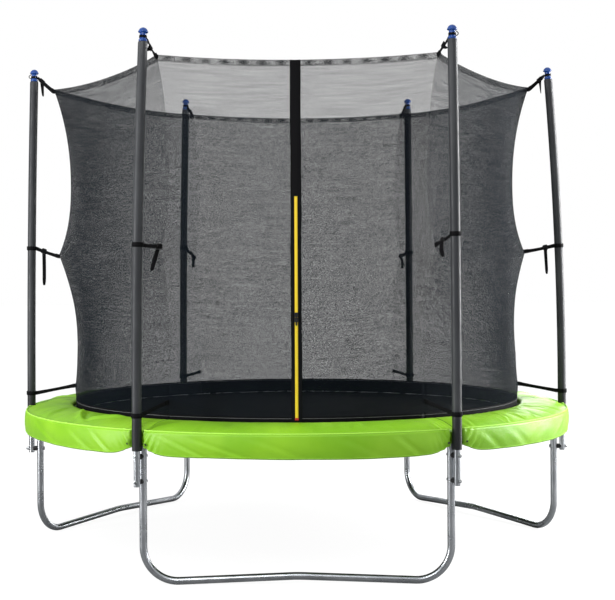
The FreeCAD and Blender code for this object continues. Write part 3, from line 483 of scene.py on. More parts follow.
steel = galvanised()
zinc = speckled(
    "bright_zinc", (0.5, 0.52, 0.54), 0.34, 1.0, (120, 3), (0.36, 0.38, 0.40), (0.56, 0.57, 0.58),
    (400, 0.08, 0.0003),
)
wire = speckled(
    "spring_wire", (0.58, 0.6, 0.62), 0.28, 1.0, (60, 3), (0.42, 0.44, 0.46), (0.68, 0.7, 0.72),
    (900, 0.08, 0.0002),
)
skin = sleeve_skin()
cap_blue = speckled(
    "cap_plastic", (0.008, 0.065, 0.30), 0.3, 0.0, (40, 3), (0.005, 0.044, 0.23), (0.009, 0.068, 0.31),
    (500, 0.06, 0.0002), Coat_Weight=0.15, Coat_Roughness=0.2,
)
plastic = speckled(
    "black_plastic", (0.018, 0.018, 0.019), 0.45, 0.0, (50, 3), (0.014, 0.014, 0.015), (0.028, 0.028, 0.03),
    (800, 0.1, 0.0002), Specular_IOR_Level=0.3,
)
slider_metal = speckled(
    "black_metal", (0.03, 0.03, 0.032), 0.3, 0.6, (200, 3), (0.02, 0.02, 0.022), (0.06, 0.06, 0.064),
    (1200, 0.08, 0.0001),
)
web = webbing()
net_thread = net_mesh("net_mesh", (0.0028, 0.0033), -0.005, 0.5, (0.005, 0.0078, 0.0115))
hem_thread = net_mesh("net_hem", (0.0027, 0.0031), -0.22, 0.6, (0.016, 0.018, 0.02))
mat_cloth = mat_weave()
band = band_cloth()
vinyl = pad_vinyl()
# The piping is real, but its green is lighter than the vinyl's to paint a highlight along the crease.
piping_painted_highlight = thread_line("pad_piping_painted_highlight", (0.42, 0.80, 0.08))
# Dark green for the lines down the pad's seams: painted shade of the seam grooves.
seam_painted_shade = thread_line("pad_seam_painted_shade", (0.045, 0.14, 0.006))
yellow = zip_cloth()
teeth_yellow = thread_line("zip_teeth", (0.95, 0.70, 0.03))
red = thread_line("zip_stop", (0.45, 0.012, 0.008))

SLOT_FINISHES = {
    "galvanised_tube": steel,
    "zinc_fastener": zinc,
    "spring_steel": wire,
    "sleeve_foam": skin,
    "cap_plastic": cap_blue,
    "black_plastic": plastic,
    "black_metal": slider_metal,
    "black_webbing": web,
    "net_mesh": net_thread,
    "zip_tape": yellow,
    "mat_fabric": mat_cloth,
    "pad_vinyl": vinyl,
}
for part in frame["record"]["subparts"]:
    node = frame["nodes"][part["node"]]
    for mesh_slot in node.material_slots:
        mesh_slot.material = SLOT_FINISHES[part["material_slot"]]


# ---- the enclosure's lines


def pole_axis(corner, height):
    """(radius, tilt) of a pole's axis at a height."""
    bend = (POLE_TOP - LEAN_START) ** 2 / (2 * LEAN[corner])
    tilt = math.asin(max(height - LEAN_START, 0) / bend)
    return POLE_RADIUS - bend * (1 - math.cos(tilt)), tilt


def eased(start, end, share, power):
    return start + (end - start) * np.clip(share, 0, 1) ** power


def net_corner(corner, z):
    """The net's corner line, as in the CAD: pulled out at the straps and drawn in between them."""
    z = np.asarray(z, float)
    rise = (z - WAIST_LOW) / (STRAP_MIDDLE - WAIST_LOW)
    inward = LEAN[corner] * np.clip(rise, 0, 1)
    above = (z - WAIST_HIGH) / (NET_HEM_CORNER - WAIST_HIGH)
    below = (WAIST_HIGH - z) / (WAIST_HIGH - STRAP_MIDDLE)
    hem = eased(WAIST_HIGH_RADIUS, HEM_RADIUS, above, 2.1) - inward
    high = eased(WAIST_HIGH_RADIUS, MIDDLE_RADIUS, below, 2.5) - inward
    middle = eased(WAIST_LOW_RADIUS, MIDDLE_RADIUS, rise, 1.8) - inward
    low = eased(WAIST_LOW_RADIUS, LOW_RADIUS, (WAIST_LOW - z) / (WAIST_LOW - STRAP_LOW), 2)
    bottom = eased(FOOT_RADIUS, LOW_RADIUS, (z - NET_BOTTOM) / (STRAP_LOW - NET_BOTTOM), 1)
    levels = [z > WAIST_HIGH, z > STRAP_MIDDLE, z > WAIST_LOW, z > STRAP_LOW]
    return np.select(levels, [hem, high, middle, low], bottom)


def door_radius(z):
    slope = DOOR_HEM_RADIUS - DOOR_LOW_RADIUS
    return DOOR_LOW_RADIUS + slope * (z - DOOR_LOW) / (NET_HEM_MIDDLE - DOOR_LOW)


def hem_height(s):
    return NET_HEM_MIDDLE + (NET_HEM_CORNER - NET_HEM_MIDDLE) * s * s


# Where the tension folds start, their depth and how many fan out.
NET_FOLDS = ((STRAP_MIDDLE, 0.0008, 9), (STRAP_LOW, 0.0006, 8), (NET_HEM_CORNER, 0.0003, 9))


def net_points(left, right, s, z, folds=1.0):
    """Points of a net panel that faces -Y, with tension folds that fan out from its straps."""
    left_radius, right_radius = net_corner(left, z), net_corner(right, z)
    corner = left_radius + (right_radius - left_radius) * (1 + s) / 2
    chord = (left_radius + right_radius) / 2 * math.cos(STEP / 2)
    across = corner * math.sin(STEP / 2) * s
    depth = corner * math.cos(STEP / 2) + (door_radius(z) - chord) * (1 - s * s)
    ripple = np.zeros_like(z)
    for side in (-1, 1):
        reach = (1 - side * s) * 0.55
        for level, size, fan in NET_FOLDS:
            away = np.hypot(reach, z - level)
            angle = np.arctan2(z - level, reach)
            fade = np.clip(away / 0.05, 0, 1) * np.exp(-away / 0.22) * np.clip(reach / 0.03, 0, 1)
            ripple += size * fade * np.cos(fan * angle)
    ripple *= folds * smoothstep(0.66, 0.74, z) * smoothstep(0.03, 0.08, 1 - np.abs(s))
    return np.stack([across, -(depth + ripple), z], axis=-1)


def flat_uvs(points, from_top=True):
    """Cloth coordinates in metres: along the rows and down the columns."""
    steps = np.linalg.norm(np.diff(points, axis=1), axis=2)
    along = np.pad(np.cumsum(steps, axis=1), ((0, 0), (1, 0)))
    along -= along[:, along.shape[1] // 2][:, None]
    steps = np.linalg.norm(np.diff(points, axis=0), axis=2)
    down = np.pad(np.cumsum(steps, axis=0), ((1, 0), (0, 0)))
    if not from_top:
        down = down[-1:] - down
    return np.stack([along, down], axis=-1)


def blend_down(piece):
    """Bakes a piece's transform into its mesh."""
    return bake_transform(piece)


# ---- safety net

HEM_TAPE = 0.026
BAND_HEIGHT = 0.067
# Half the share of the front panel's width that the door band takes up.
DOOR_GAP = 0.019
levels = np.concatenate([np.linspace(1, 0.52, 46), np.linspace(0.515, 0.46, 12), np.linspace(0.45, 0, 44)])
for index, name in enumerate(PANELS):
    left, right = CORNERS[(index + 4) % 6], CORNERS[(index + 5) % 6]
    turn = index * STEP
    spans = [(-1, -DOOR_GAP), (DOOR_GAP, 1)] if name == "front" else [(-1, 1)]
    cloth, hem_tape, foot_band = Pile(), Pile(), Pile()
    for low, high in spans:
        s_line = np.linspace(low, high, 41 if name == "front" else 81)
        s = np.broadcast_to(s_line, (len(levels), len(s_line)))
        z = NET_BOTTOM + (hem_height(s) - NET_BOTTOM) * levels[:, None]
        points = spun(net_points(left, right, s, z), turn)
        smooth = net_points(left, right, s, z, folds=0)
        cloth.add(*shell(points, flat_uvs(smooth), 0.0004))

        top_rows = np.linspace(0, HEM_TAPE, 7)[:, None]
        s = np.broadcast_to(s_line, (7, len(s_line)))
        z = hem_height(s) + 0.0008 - top_rows
        points = spun(net_points(left, right, s, z), turn)
        rounded = 0.0016 + 0.0016 * np.cos(np.linspace(0, 1, 7) * math.pi / 2)[:, None] * np.ones_like(s)
        hem_tape.add(*shell(points, flat_uvs(points), rounded))

        s = np.broadcast_to(s_line, (9, len(s_line)))
        z = NET_BOTTOM - 0.0005 + np.linspace(BAND_HEIGHT, 0, 9)[:, None] * np.ones_like(s)
        points = spun(net_points(left, right, s, z), turn)
        foot_band.add(*shell(points, flat_uvs(points, from_top=False), 0.0022))
    panel = cloth.make(f"net_cloth_{name}", net_thread)
    tape = hem_tape.make(f"net_hem_{name}", hem_thread)
    foot = foot_band.make(f"net_band_{name}", band)
    for piece in (panel, tape, foot):
        blend_down(piece)
    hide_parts(f"net_panel_{name}")


# ---- door band and zip


def door_points(z, outward, across=0.0):
    z = np.asarray(z, float)
    return np.stack(np.broadcast_arrays(across, -(door_radius(z) + outward), z), axis=-1)


band_z = np.linspace(NET_HEM_MIDDLE, NET_BOTTOM + 0.002, 120)
wander = 0.0007 * np.sin(band_z * 9.0) + 0.0004 * np.sin(band_z * 23.0)
door = Pile()
door.add(*ribbon(door_points(band_z, 0.0016, wander), (1, 0, 0), 0.043, 0.0018))
for side in (-1, 1):
    rows = door_points(band_z, 0.0026, side * 0.0185 + wander)
    door.add(*tube(rows, 0.0004, 4))
door_band = door.make("door_band", web, sharp=40)

tape_z = np.linspace(ZIP_HIGH, ZIP_LOW, 90)
zip_tape = Pile().add(*ribbon(door_points(tape_z, 0.0031), (1, 0, 0), 0.0120, 0.0009))
zip_tape = zip_tape.make("zip_tape", yellow, sharp=40)
teeth = Pile()
pitch = 0.0025
for number in range(int((ZIP_HIGH - ZIP_LOW - 0.004) / pitch)):
    z = ZIP_LOW + 0.002 + pitch * number
    for side in (-1, 1):
        z_side = z + (pitch / 2 if side > 0 else 0)
        centre = door_points(z_side, 0.00375, side * 0.0014)
        teeth.add(*block(centre, np.eye(3), (0.0034, 0.0007, 0.0014)))
zip_teeth = teeth.make("zip_teeth", teeth_yellow, smooth=False)
stops = Pile()
stops.add(*block(door_points(ZIP_LOW - 0.002, 0.0033), np.eye(3), (0.0145, 0.0016, 0.009)))
zip_stop = stops.make("zip_bottom_stop", red, smooth=False)
for piece in (door_band, zip_tape, zip_teeth, zip_stop):
    blend_down(piece)
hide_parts("door_zipper")


# ---- straps

STRAP_WIDTH, TOP_STRAP_WIDTH, WEBBING = 0.018, 0.019, 0.0018
TOP_STRAP_FOOT, LOW_STRAP_HEAD = 2.077, 0.665


def ring_round(index, height, radius, angles):
    """Points of a circle square to a pole's axis, and that axis."""
    distance, tilt = pole_axis(CORNERS[index], height)
    ring = polar(radius, angles, 0 * angles)
    c, s = math.cos(-tilt), math.sin(-tilt)
    tilted = ring @ np.array([[c, 0, -s], [0, 1, 0], [s, 0, c]])
    placed = spun(tilted + np.array([distance, 0, height]), index * STEP)
    return placed, spun([[s, 0, c]], index * STEP)[0]


def loop_round(index, height, radius, width):
    path, axis = ring_round(index, height, radius, np.linspace(0, 2 * math.pi, 29) + math.pi)
    return ribbon(path, axis, width, WEBBING)


def buckle(centre, along, across, size):
    """A ladder-lock buckle: a frame of rounded bars with two bars across it."""
    pile = Pile()
    corners = [(-1, -1), (-1, 1), (1, 1), (1, -1)]
    outline = []
    for start, end in zip(corners, corners[1:] + corners[:1]):
        for share in np.linspace(0.12, 0.88, 4):
            x = start[0] + (end[0] - start[0]) * share
            y = start[1] + (end[1] - start[1]) * share
            outline.append(centre + size * (along * x * 0.010 + across * y * 0.0105))
    pile.add(*tube(outline, 0.0022 * size, 7, closed=True))
    for place in (-0.4, 0.4):
        middle = centre + along * place * 0.010 * size
        reach = across * 0.0102 * size
        pile.add(*tube([middle - reach, middle, middle + reach], 0.0020 * size, 7))
    return pile


def strap(name, index, pole_height, held, net_height, width, tail, sag, narrow, loop=1.0, twist=0.35):
    """A loop round the pole, a band to the net's corner, its buckle and its loose tail.

    held is the radius that the loop goes round, loop the loop's width as a share of the band's, and
    narrow how much of its width the band loses half way.
    """
    corner = CORNERS[index]
    turn = index * STEP

    def here(points):
        return spun(points, turn)

    distance = pole_axis(corner, pole_height)[0]
    radius = held + 0.0014
    pile = Pile()
    pile.add(*loop_round(index, pole_height, radius, width * loop))
    if loop == 1.0:
        pile.add(*loop_round(index, pole_height + 0.0015, radius + 0.0016, width * 0.9))
    start = np.array([distance - radius - 0.001, 0, pole_height])
    end = np.array([float(net_corner(corner, net_height)) + 0.0035, 0, net_height])
    share = np.linspace(0, 1, 15)
    path = start + (end - start) * share[:, None]
    bow = np.sin(share * math.pi)
    path[:, 2] -= sag * bow
    path[:, 1] += 0.002 * np.sin(share * math.pi * 2)
    twist = twist * bow * (1 if index % 2 else -1)
    across = np.stack([0 * share, np.sin(twist), np.cos(twist)], axis=-1)
    widths = width * (1 - narrow * bow) * (loop + (1 - loop) * smoothstep(0, 0.2, share))
    pile.add(*ribbon(here(path), here(across), widths, WEBBING))
    along = (end - start) / np.linalg.norm(end - start)
    upward = np.array([0, 0, 1.0]) - along * along[2]
    upward /= np.linalg.norm(upward)
    flat = here([upward])[0]
    sewn = [end - along * 0.016, end - along * 0.006, end + np.array([-0.006, 0, 0])]
    pile.add(*ribbon(here(sewn), flat, width * 1.05, 0.0052))
    if tail:
        at, length, sway, curl, turned = tail
        hang = start + (end - start) * at
        threaded = [hang + along * reach + np.array([0, -0.0030, 0]) for reach in (-0.012, 0.0, 0.012)]
        pile.add(*ribbon(here(threaded), flat, width * 1.02, 0.0030))
        drop = np.linspace(0, 1, 12)
        x = hang[0] + sway * drop**1.5 * length
        y = hang[1] - 0.004 - curl * np.sin(drop * math.pi * 0.9) * length
        z = hang[2] - 0.002 - length * drop * math.sqrt(max(1 - sway**2, 0.2))
        points = np.stack([x, y, z], axis=-1)
        facing = polar(1.0, turned * drop**0.4, 0 * drop)
        taper = width * (0.92 - 0.35 * smoothstep(0.86, 1.0, drop))
        pile.add(*ribbon(here(points), here(facing), taper, 0.0017))
    piece = pile.make(name, web, sharp=50)
    settle(piece, "frame")
    if tail:
        centre = here([hang + np.array([0, -0.0028, 0])])[0]
        clip = buckle(centre, here([along])[0], flat, 0.76 if loop < 1 else 1.0)
        settle(clip.make(f"{name}_buckle", plastic), "frame")
    return piece


# A tail's place along its strap, its length, its sway out from the net, its curl and its turn.
TOP_TAILS = {
    "right": (0.30, 0.064, 0.08, 0.05, 1.25),
    "back_right": (0.6, 0.030, 0.2, 0.1, -0.8),
    "back_left": (0.6, 0.030, 0.2, 0.1, 0.8),
    "left": (0.26, 0.068, -0.06, 0.05, 1.25),
    "front_left": (0.5, 0.026, 0.85, 0.1, -0.9),
    "front_right": (0.5, 0.030, 0.85, 0.1, 0.9),
}
MIDDLE_TAILS = {
    "right": (0.30, 0.122, 0.05, 0.05, 0.5),
    "back_right": (0.90, 0.065, 0.1, 0.1, -0.8),
    "back_left": (0.62, 0.07, -0.1, 0.1, 0.8),
    "left": (0.33, 0.158, 0.0, 0.04, 0.4),
    "front_left": (0.90, 0.105, 0.42, 0.05, -0.9),
    "front_right": (0.55, 0.065, 0.15, 0.1, 0.8),
}
# The height of each middle strap at its pole and at the net.
MIDDLE_HEIGHTS = {
    "right": (1.345, 1.318),
    "back_right": (1.338, 1.314),
    "back_left": (1.368, 1.313),
    "left": (1.343, 1.305),
    "front_left": (1.329, 1.326),
    "front_right": (1.366, 1.326),
}
# Spare elastic cord stands out from two of the caps.
elastic = Pile()
for corner, toward in (("left", 180), ("front_right", 10)):
    distance = pole_axis(corner, NECK_HEIGHT)[0]
    centre = spun([[distance, 0, 0]], CORNERS.index(corner) * STEP)[0]
    sweep = np.linspace(0, 1, 15)
    reach = CAP_NECK + 0.0012 + 0.0105 * np.sin(sweep * math.pi) ** 0.8
    elastic.add(*tube(centre + polar(reach, math.radians(toward), 2.1385 + 0.0195 * sweep), 0.0019, 7))
settle(elastic.make("cap_elastic_loops", web), "frame")

for index, corner in enumerate(CORNERS):
    high, low = MIDDLE_HEIGHTS[corner]
    tail, hung = TOP_TAILS[corner], MIDDLE_TAILS[corner]
    rows = {
        "top": (NECK_HEIGHT, CAP_NECK, TOP_STRAP_FOOT, TOP_STRAP_WIDTH, tail, 0.002, 0.1, 0.52, 0.3),
        "middle": (high, SLEEVE, low, STRAP_WIDTH, hung, 0.002, 0.15),
        "bottom": (LOW_STRAP_HEAD, SLEEVE, STRAP_LOW, STRAP_WIDTH, None, 0.0, 0.15),
    }
    for level, values in rows.items():
        piece = strap(f"strap_{level}_{corner}", index, *values)
        if index == 0:
            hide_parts(f"straps_{level}")


# The foam of each sleeve is squeezed up against its cap.
# Height and radius of each ring of it.
COLLAR = (
    (2.1165, 0.0150), (2.1165, 0.0188), (2.1190, 0.0190), (2.1235, 0.0186), (2.1256, 0.0172),
    (2.1256, 0.0150),
)
collars = Pile()
for index in range(6):
    turned = np.arange(32) / 32 * 2 * math.pi
    circles = [ring_round(index, height, radius, turned)[0] for height, radius in COLLAR]
    faces = grid_faces(len(COLLAR), len(turned), wrap_rows=True, wrap_cols=True, flip=True)
    collars.add(np.concatenate(circles), faces)
settle(collars.make("sleeve_collars", skin, sharp=60), "frame")


# ---- jump mat

MAT_OUT = 1.024
mat_low, mat_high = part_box("jump_mat")
middle = (mat_low[2] + mat_high[2]) / 2
# Radii of the mat's rings of points and half its thickness at each, with the folded edge outside.
rings = [0.0004, 0.1, 0.2, 0.3, 0.4, 0.5, 0.6, 0.7, 0.8, 0.87, 0.93, 0.965, 0.982]
rings += [0.986, 0.990, 1.0, 1.01, 1.018, 1.0225, MAT_OUT]
half = [0.0015] * 13 + [0.0026, 0.0034, 0.0035, 0.0035, 0.0033, 0.0024, 0.0008]
turns = 360
angles = np.arange(turns) / turns * 2 * math.pi
upper, lower = [], []
for r, h in zip(rings, half):
    wave = 0.0012 * math.sin(min(r / 0.9, 1) * math.pi)
    upper.append(polar(r, angles, middle + h - wave))
    lower.append(polar(r, angles, middle - h - wave))
rows = len(rings)
verts = np.concatenate(upper[::-1] + lower + [[[0, 0, middle + 0.0015], [0, 0, middle - 0.0015]]])
top_hub, low_hub = len(verts) - 2, len(verts) - 1
faces = grid_faces(rows, turns, wrap_cols=True, flip=True)
faces += grid_faces(rows, turns, wrap_cols=True, flip=True, first=rows * turns)
for j in range(turns):
    k = (j + 1) % turns
    rim_top, rim_low = 0, (2 * rows - 1) * turns
    faces.append((rim_low + j, rim_low + k, rim_top + k, rim_top + j)[::-1])
    inner_top, inner_low = (rows - 1) * turns, rows * turns
    faces.append((inner_top + j, inner_top + k, top_hub))
    faces.append((inner_low + k, inner_low + j, low_hub))
mat = Pile().add(verts, faces, verts[:, :2])
mat = mat.make("mat_cloth", mat_cloth)
settle(mat, "mat")
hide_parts("jump_mat")

tabs = Pile()
for number in range(SPRINGS):
    turn = (number + 0.5) * SPRING_STEP
    x = np.array([0.988, 0.992, 1.002, 1.012, 1.019, 1.0225, 1.019, 1.012])
    z = middle + np.array([0.0039, 0.0045, 0.0047, 0.0047, 0.0044, 0.0, -0.0044, -0.0046])
    path = spun(np.stack([x, 0 * x, z], axis=-1), turn)
    tabs.add(*ribbon(path, spun([[0, 1.0, 0]], turn)[0], 0.028, 0.0016))
tabs = tabs.make("mat_ring_tabs", web, sharp=50)
settle(tabs, "mat")


# ---- springs

COIL_START, COIL_END, COIL_RADIUS, WIRE = 1.060, 1.164, 0.0079, 0.0016
SPRING_HEIGHT = 0.578
coil_turns, per_turn = 26, 10
sweep = np.linspace(0, 1, coil_turns * per_turn + 1)
ease_in = smoothstep(0, 0.03, sweep) * smoothstep(0, 0.03, 1 - sweep)
winding, swell = sweep * coil_turns * 2 * math.pi, COIL_RADIUS * (0.35 + 0.65 * ease_in)
coil = [COIL_START + (COIL_END - COIL_START) * sweep, swell * np.cos(winding), swell * np.sin(winding)]
coil = np.stack(coil, axis=-1)
hook_in = [(1.0478, 0, -0.0055), (1.0452, 0, -0.0005), (1.0470, 0, 0.0050), (1.0520, 0, 0.0066)]
hook_in += [(1.0560, 0.001, 0.0050)]
hook_out = [(1.1700, 0.001, 0.0050), (1.1790, 0, 0.0042), (1.1880, 0, 0.0038), (1.1935, 0, 0.0008)]
hook_out += [(1.1930, 0, -0.0050)]
spring_path = np.concatenate([hook_in, coil, hook_out])
spring_path[:, 2] += SPRING_HEIGHT
for number in range(SPRINGS):
    turn = (number + 0.5) * SPRING_STEP
    coil_piece = Pile().add(*tube(spun(spring_path, turn), WIRE, 6)).make(f"spring_{number + 1:02d}", wire)
    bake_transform(coil_piece)
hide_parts("springs")


# ---- spring pad

PAD_TURNS = 1440
PAD_OUTER = 1.2485
CREASE_RADIUS, CREASE = 1.239, 0.6075
SKIRT_FOOT = 0.512
pad_angles = np.arange(PAD_TURNS) / PAD_TURNS * 2 * math.pi
from_pole = np.abs((pad_angles + STEP / 2) % STEP - STEP / 2)
pole_gap = from_pole * POLE_RADIUS


def ring_noise(radius, scale, height, seed):
    """Noise round a circle, with a value for each of the pad's angles."""
    circle = polar(radius, pad_angles, 0.0) * scale
    return np.array([noise.noise(Vector((x, y, height + seed * 17.3))) for x, y, _ in circle])


def from_angle(degrees):
    """Each point's angle beyond this one, from -pi to pi."""
    return (pad_angles - math.radians(degrees) + math.pi) % (2 * math.pi) - math.pi


profile = [("inner", share) for share in np.linspace(0, 1, 5)]
profile += [("top", share) for share in np.linspace(0.06, 0.97, 21)]
profile += [("crease", share) for share in np.linspace(0, 1, 6)]
profile += [("skirt", share) for share in np.linspace(0.06, 1, 16)]

INNER_ROUND = [(1.0335, 0.6090), (1.0325, 0.6140), (1.0330, 0.6210), (1.0360, 0.6270), (1.0420, 0.6315)]
# The pad's edge steps in behind each pole, to SKIRT_BACK, and its foot lifts there.
SKIRT_BACK, SKIRT_LIMIT = 1.2218, 1.2222
dip = 1 - smoothstep(0.0200, 0.036, pole_gap)
lift = 0.034 * np.exp(-((pole_gap / 0.075) ** 2)) + 0.005 * ring_noise(1.25, 3.0, 0, 5)
outer = PAD_OUTER - (PAD_OUTER - SKIRT_BACK) * dip
foot = SKIRT_FOOT + lift
start_r, start_z = INNER_ROUND[-1]
grid = []
for kind, share in profile:
    if kind == "inner":
        r, z = INNER_ROUND[int(round(share * 4))]
        r = r + np.maximum(0.0016 * ring_noise(1.03, 5.0, z, 2), -0.0008)
        z = z + 0.0012 * ring_noise(1.03, 7.0, 0, 4)
    elif kind == "top":
        end_r = CREASE_RADIUS - (PAD_OUTER - outer)
        r = start_r + (end_r - start_r) * share
        z = start_z + (CREASE - start_z) * share + 0.009 * math.sin(share**0.8 * math.pi)
        z = z - 0.007 * np.exp(-((pole_gap / 0.06) ** 2)) * smoothstep(0.5, 1.0, share)
    elif kind == "crease":
        r = outer - (PAD_OUTER - CREASE_RADIUS) * (1 - math.sin(share * math.pi / 2))
        z = CREASE - 0.010 * (1 - math.cos(share * math.pi / 2)) - 0.005 * dip
    else:
        r = outer + 0.0045 * math.sin(share * math.pi) - 0.004 * share
        z = CREASE - 0.010 - 0.005 * dip * (1 - share) + (foot - CREASE + 0.010) * share
    grid.append(polar(r, pad_angles, z))
pad_grid = np.array(grid)


def puff(points):
    """Each point's movement as a cloth simulation inflates the top cover between the poles' seams."""
    skip = 4
    coarse = points[:, ::skip]
    rows, cols, _ = coarse.shape
    body = Pile().add(coarse.reshape(-1, 3), grid_faces(rows, cols, wrap_cols=True, flip=True))
    body = body.make("pad_simulation", vinyl)
    pins = body.vertex_groups.new(name="pins")
    for row, (kind, share) in enumerate(profile):
        for col in range(cols):
            if kind != "top" or share > 0.94 or share < 0.08 or pole_gap[col * skip] < 0.030:
                pins.add([row * cols + col], 1.0, "REPLACE")
    cloth = body.modifiers.new("cloth", "CLOTH")
    settings = cloth.settings
    settings.quality = 5
    settings.mass = 0.4
    settings.use_pressure = True
    settings.uniform_pressure_force = 4
    settings.effector_weights.gravity = 0
    settings.vertex_group_mass = "pins"
    settings.bending_stiffness = 8
    settings.shrink_min = -0.004
    settings.shrink_max = -0.004
    cloth.collision_settings.use_self_collision = False
    for step in range(1, 21):
        bpy.context.scene.frame_set(step)
    settled = body.evaluated_get(bpy.context.evaluated_depsgraph_get()).to_mesh()
    moved = np.zeros(len(settled.vertices) * 3)
    settled.vertices.foreach_get("co", moved)
    moved = moved.reshape(rows, cols, 3) - coarse
    bpy.data.objects.remove(body)
    bpy.context.scene.frame_set(1)
    size = np.linalg.norm(moved, axis=2, keepdims=True)
    moved *= np.minimum(1, PUFF_CAP / np.maximum(size, 1e-9))
    fine = np.zeros_like(points)
    following = np.roll(moved, -1, axis=1)
    for step in range(skip):
        share = step / skip
        fine[:, step::skip] = moved * (1 - share) + following * share
    return fine


PUFF_CAP = 0.008
SLEEVE_ROOM = 0.0225
pad_grid = pad_grid + puff(pad_grid)

# Folds on top: the angle at the inner edge and at the crease, height, half width, and the shares of the
# pad's width where the fold starts and ends.
FOLDS = [
    (-150, -134, 0.0120, 0.024, 0.16, 0.80),
    (-129, -139, 0.0090, 0.018, 0.20, 0.75),
    (-160, -151, 0.0050, 0.028, 0.20, 0.90),
    (-158, -150, 0.0040, 0.016, 0.20, 0.90),
    (-53, -56, 0.0024, 0.010, 0.00, 0.95),
    (-45, -47, 0.0012, 0.005, 0.00, 1.00),
    (-40, -46, 0.0022, 0.008, 0.00, 1.00),
    (-36, -40, 0.0012, 0.005, 0.05, 1.00),
    (-29, -36, 0.0024, 0.009, 0.00, 0.95),
    (-21, -25, 0.0014, 0.006, 0.00, 0.90),
    (-98, -103, 0.0018, 0.014, 0.30, 1.00),
    (-76, -81, 0.0018, 0.015, 0.20, 0.90),
    (12, 17, 0.0050, 0.009, 0.00, 0.90),
    (34, 30, 0.0045, 0.010, 0.10, 1.00),
    (52, 55, 0.0055, 0.009, 0.00, 0.80),
    (81, 77, 0.0040, 0.012, 0.00, 1.00),
    (104, 109, 0.0050, 0.010, 0.10, 0.90),
    (131, 127, 0.0055, 0.009, 0.00, 0.95),
    (150, 157, 0.0045, 0.010, 0.00, 0.85),
    (172, 168, 0.0050, 0.009, 0.10, 1.00),
]
# Slack in the skirt: its angle at the top, its angle at the foot, depth and half width.
DRAPES = [
    (-153, -141, 0.0030, 0.036),
    (-138, -131, 0.0045, 0.022),
    (-131, -126, 0.0070, 0.015),
    (-115, -106, 0.0075, 0.018),
    (-110, -98, 0.0055, 0.026),
    (-98, -88, 0.0040, 0.030),
    (-82, -74, 0.0040, 0.032),
    (-72, -67, 0.0060, 0.018),
    (-54, -49, 0.0042, 0.024),
    (-46, -41, 0.0040, 0.026),
    (-34, -40, 0.0034, 0.036),
    (-20, -27, 0.0040, 0.032),
    (-12, -18, 0.0045, 0.024),
    (8, 14, 0.0060, 0.020),
    (24, 20, 0.0050, 0.024),
    (46, 54, 0.0070, 0.018),
    (68, 76, 0.0060, 0.022),
    (95, 88, 0.0050, 0.026),
    (112, 106, 0.0065, 0.018),
    (136, 128, 0.0060, 0.020),
    (160, 168, 0.0060, 0.022),
    (-172, -165, 0.0055, 0.024),
]
pucker = np.exp(-((pole_gap / 0.064) ** 2)) * smoothstep(0.020, 0.040, pole_gap)
gather_noise = 7.0 * ring_noise(1.25, 6.0, 0, 3)


def pleats_at(depth):
    """Small gathers beside the poles. They lean towards the pole on their way down the skirt."""
    return np.cos((pole_gap - 0.034 * (1 - depth)) * 2 * math.pi / 0.027 + gather_noise)


seam = np.exp(-((pole_gap / 0.0035) ** 2)) - 0.4 * np.exp(-((pole_gap / 0.016) ** 2))
hollow = np.sqrt(np.clip(SLEEVE_ROOM**2 - pole_gap**2, 0, None))
eased_out = SKIRT_LIMIT + 0.9 * np.maximum(pole_gap - SLEEVE, 0)
sleeve_limit = np.where(pole_gap < SLEEVE_ROOM, np.minimum(POLE_RADIUS - hollow, eased_out), 9)
for row, (kind, share) in enumerate(profile):
    if kind in ("inner", "top"):
        share = share if kind == "top" else 0.0
        belly = math.sin(share * math.pi) ** 0.5
        change = 0.0026 * ring_noise(1.04 + 0.2 * share, 6.0, share, 6) * belly - 0.0030 * seam * belly
        for inner_angle, outer_angle, height, half, low, high in FOLDS:
            away = from_angle(inner_angle + (outer_angle - inner_angle) * share) * (1.04 + 0.2 * share)
            window = smoothstep(low - 0.12, low + 0.12, share)
            window = window * (1 - smoothstep(high - 0.15, high + 0.1, share))
            hill = np.exp(-np.abs(away / half) ** 1.5)
            shape = hill - 0.55 * np.exp(-(((away - 1.7 * half) / half) ** 2))
            change = change + height * window * shape * (1.0 if kind == "top" else 0.35)
        change = change + 0.0045 * pucker * pleats_at(0) * smoothstep(0.5, 1.0, share)
        pad_grid[row, :, 2] += change
    elif kind in ("crease", "skirt"):
        depth = 0.0 if kind == "crease" else share
        change = 0.0028 * ring_noise(1.25, 10.0, 0.5 + depth, 9) * (0.25 + depth)
        for top_angle, low_angle, height, half in DRAPES:
            away = from_angle(top_angle + (low_angle - top_angle) * depth) * 1.25
            shape = np.exp(-((away / half) ** 2)) - 0.6 * np.exp(-(((away + 1.8 * half) / half) ** 2))
            change = change - height * shape * math.sin(min(depth * 1.15 + 0.06, 1) * math.pi * 0.62)
        change = change * (1 - dip) * 0.5 - 0.004 * pucker
        change = change + 0.0095 * pucker * pleats_at(depth) * (0.35 + 0.65 * depth) * (1 - 0.45 * dip)
        distance = np.hypot(pad_grid[row, :, 0], pad_grid[row, :, 1])
        wanted = np.minimum(distance + change, sleeve_limit)
        pad_grid[row, :, :2] *= (wanted / distance)[:, None]
        if kind == "crease":
            pad_grid[row, :, 2] += 0.0035 * pucker * pleats_at(0)


def rows_of(wanted):
    return [row for row, (kind, share) in enumerate(profile) if kind == wanted]


# The lining goes up inside the skirt and in under the foam.
inside = []
skirt_rows = rows_of("skirt")
for row in skirt_rows[::-3]:
    r = np.hypot(pad_grid[row, :, 0], pad_grid[row, :, 1]) - 0.0022
    inside.append(polar(r, pad_angles, pad_grid[row, :, 2] + (0.0004 if row == skirt_rows[-1] else 0)))
roof_r = np.hypot(inside[-1][:, 0], inside[-1][:, 1])
roof_z = inside[-1][:, 2]
for share in np.linspace(0.12, 0.95, 6):
    inside.append(polar(roof_r + (1.0345 - roof_r) * share, pad_angles, roof_z + (0.6085 - roof_z) * share))
pad_grid = np.concatenate([pad_grid, np.array(inside)])

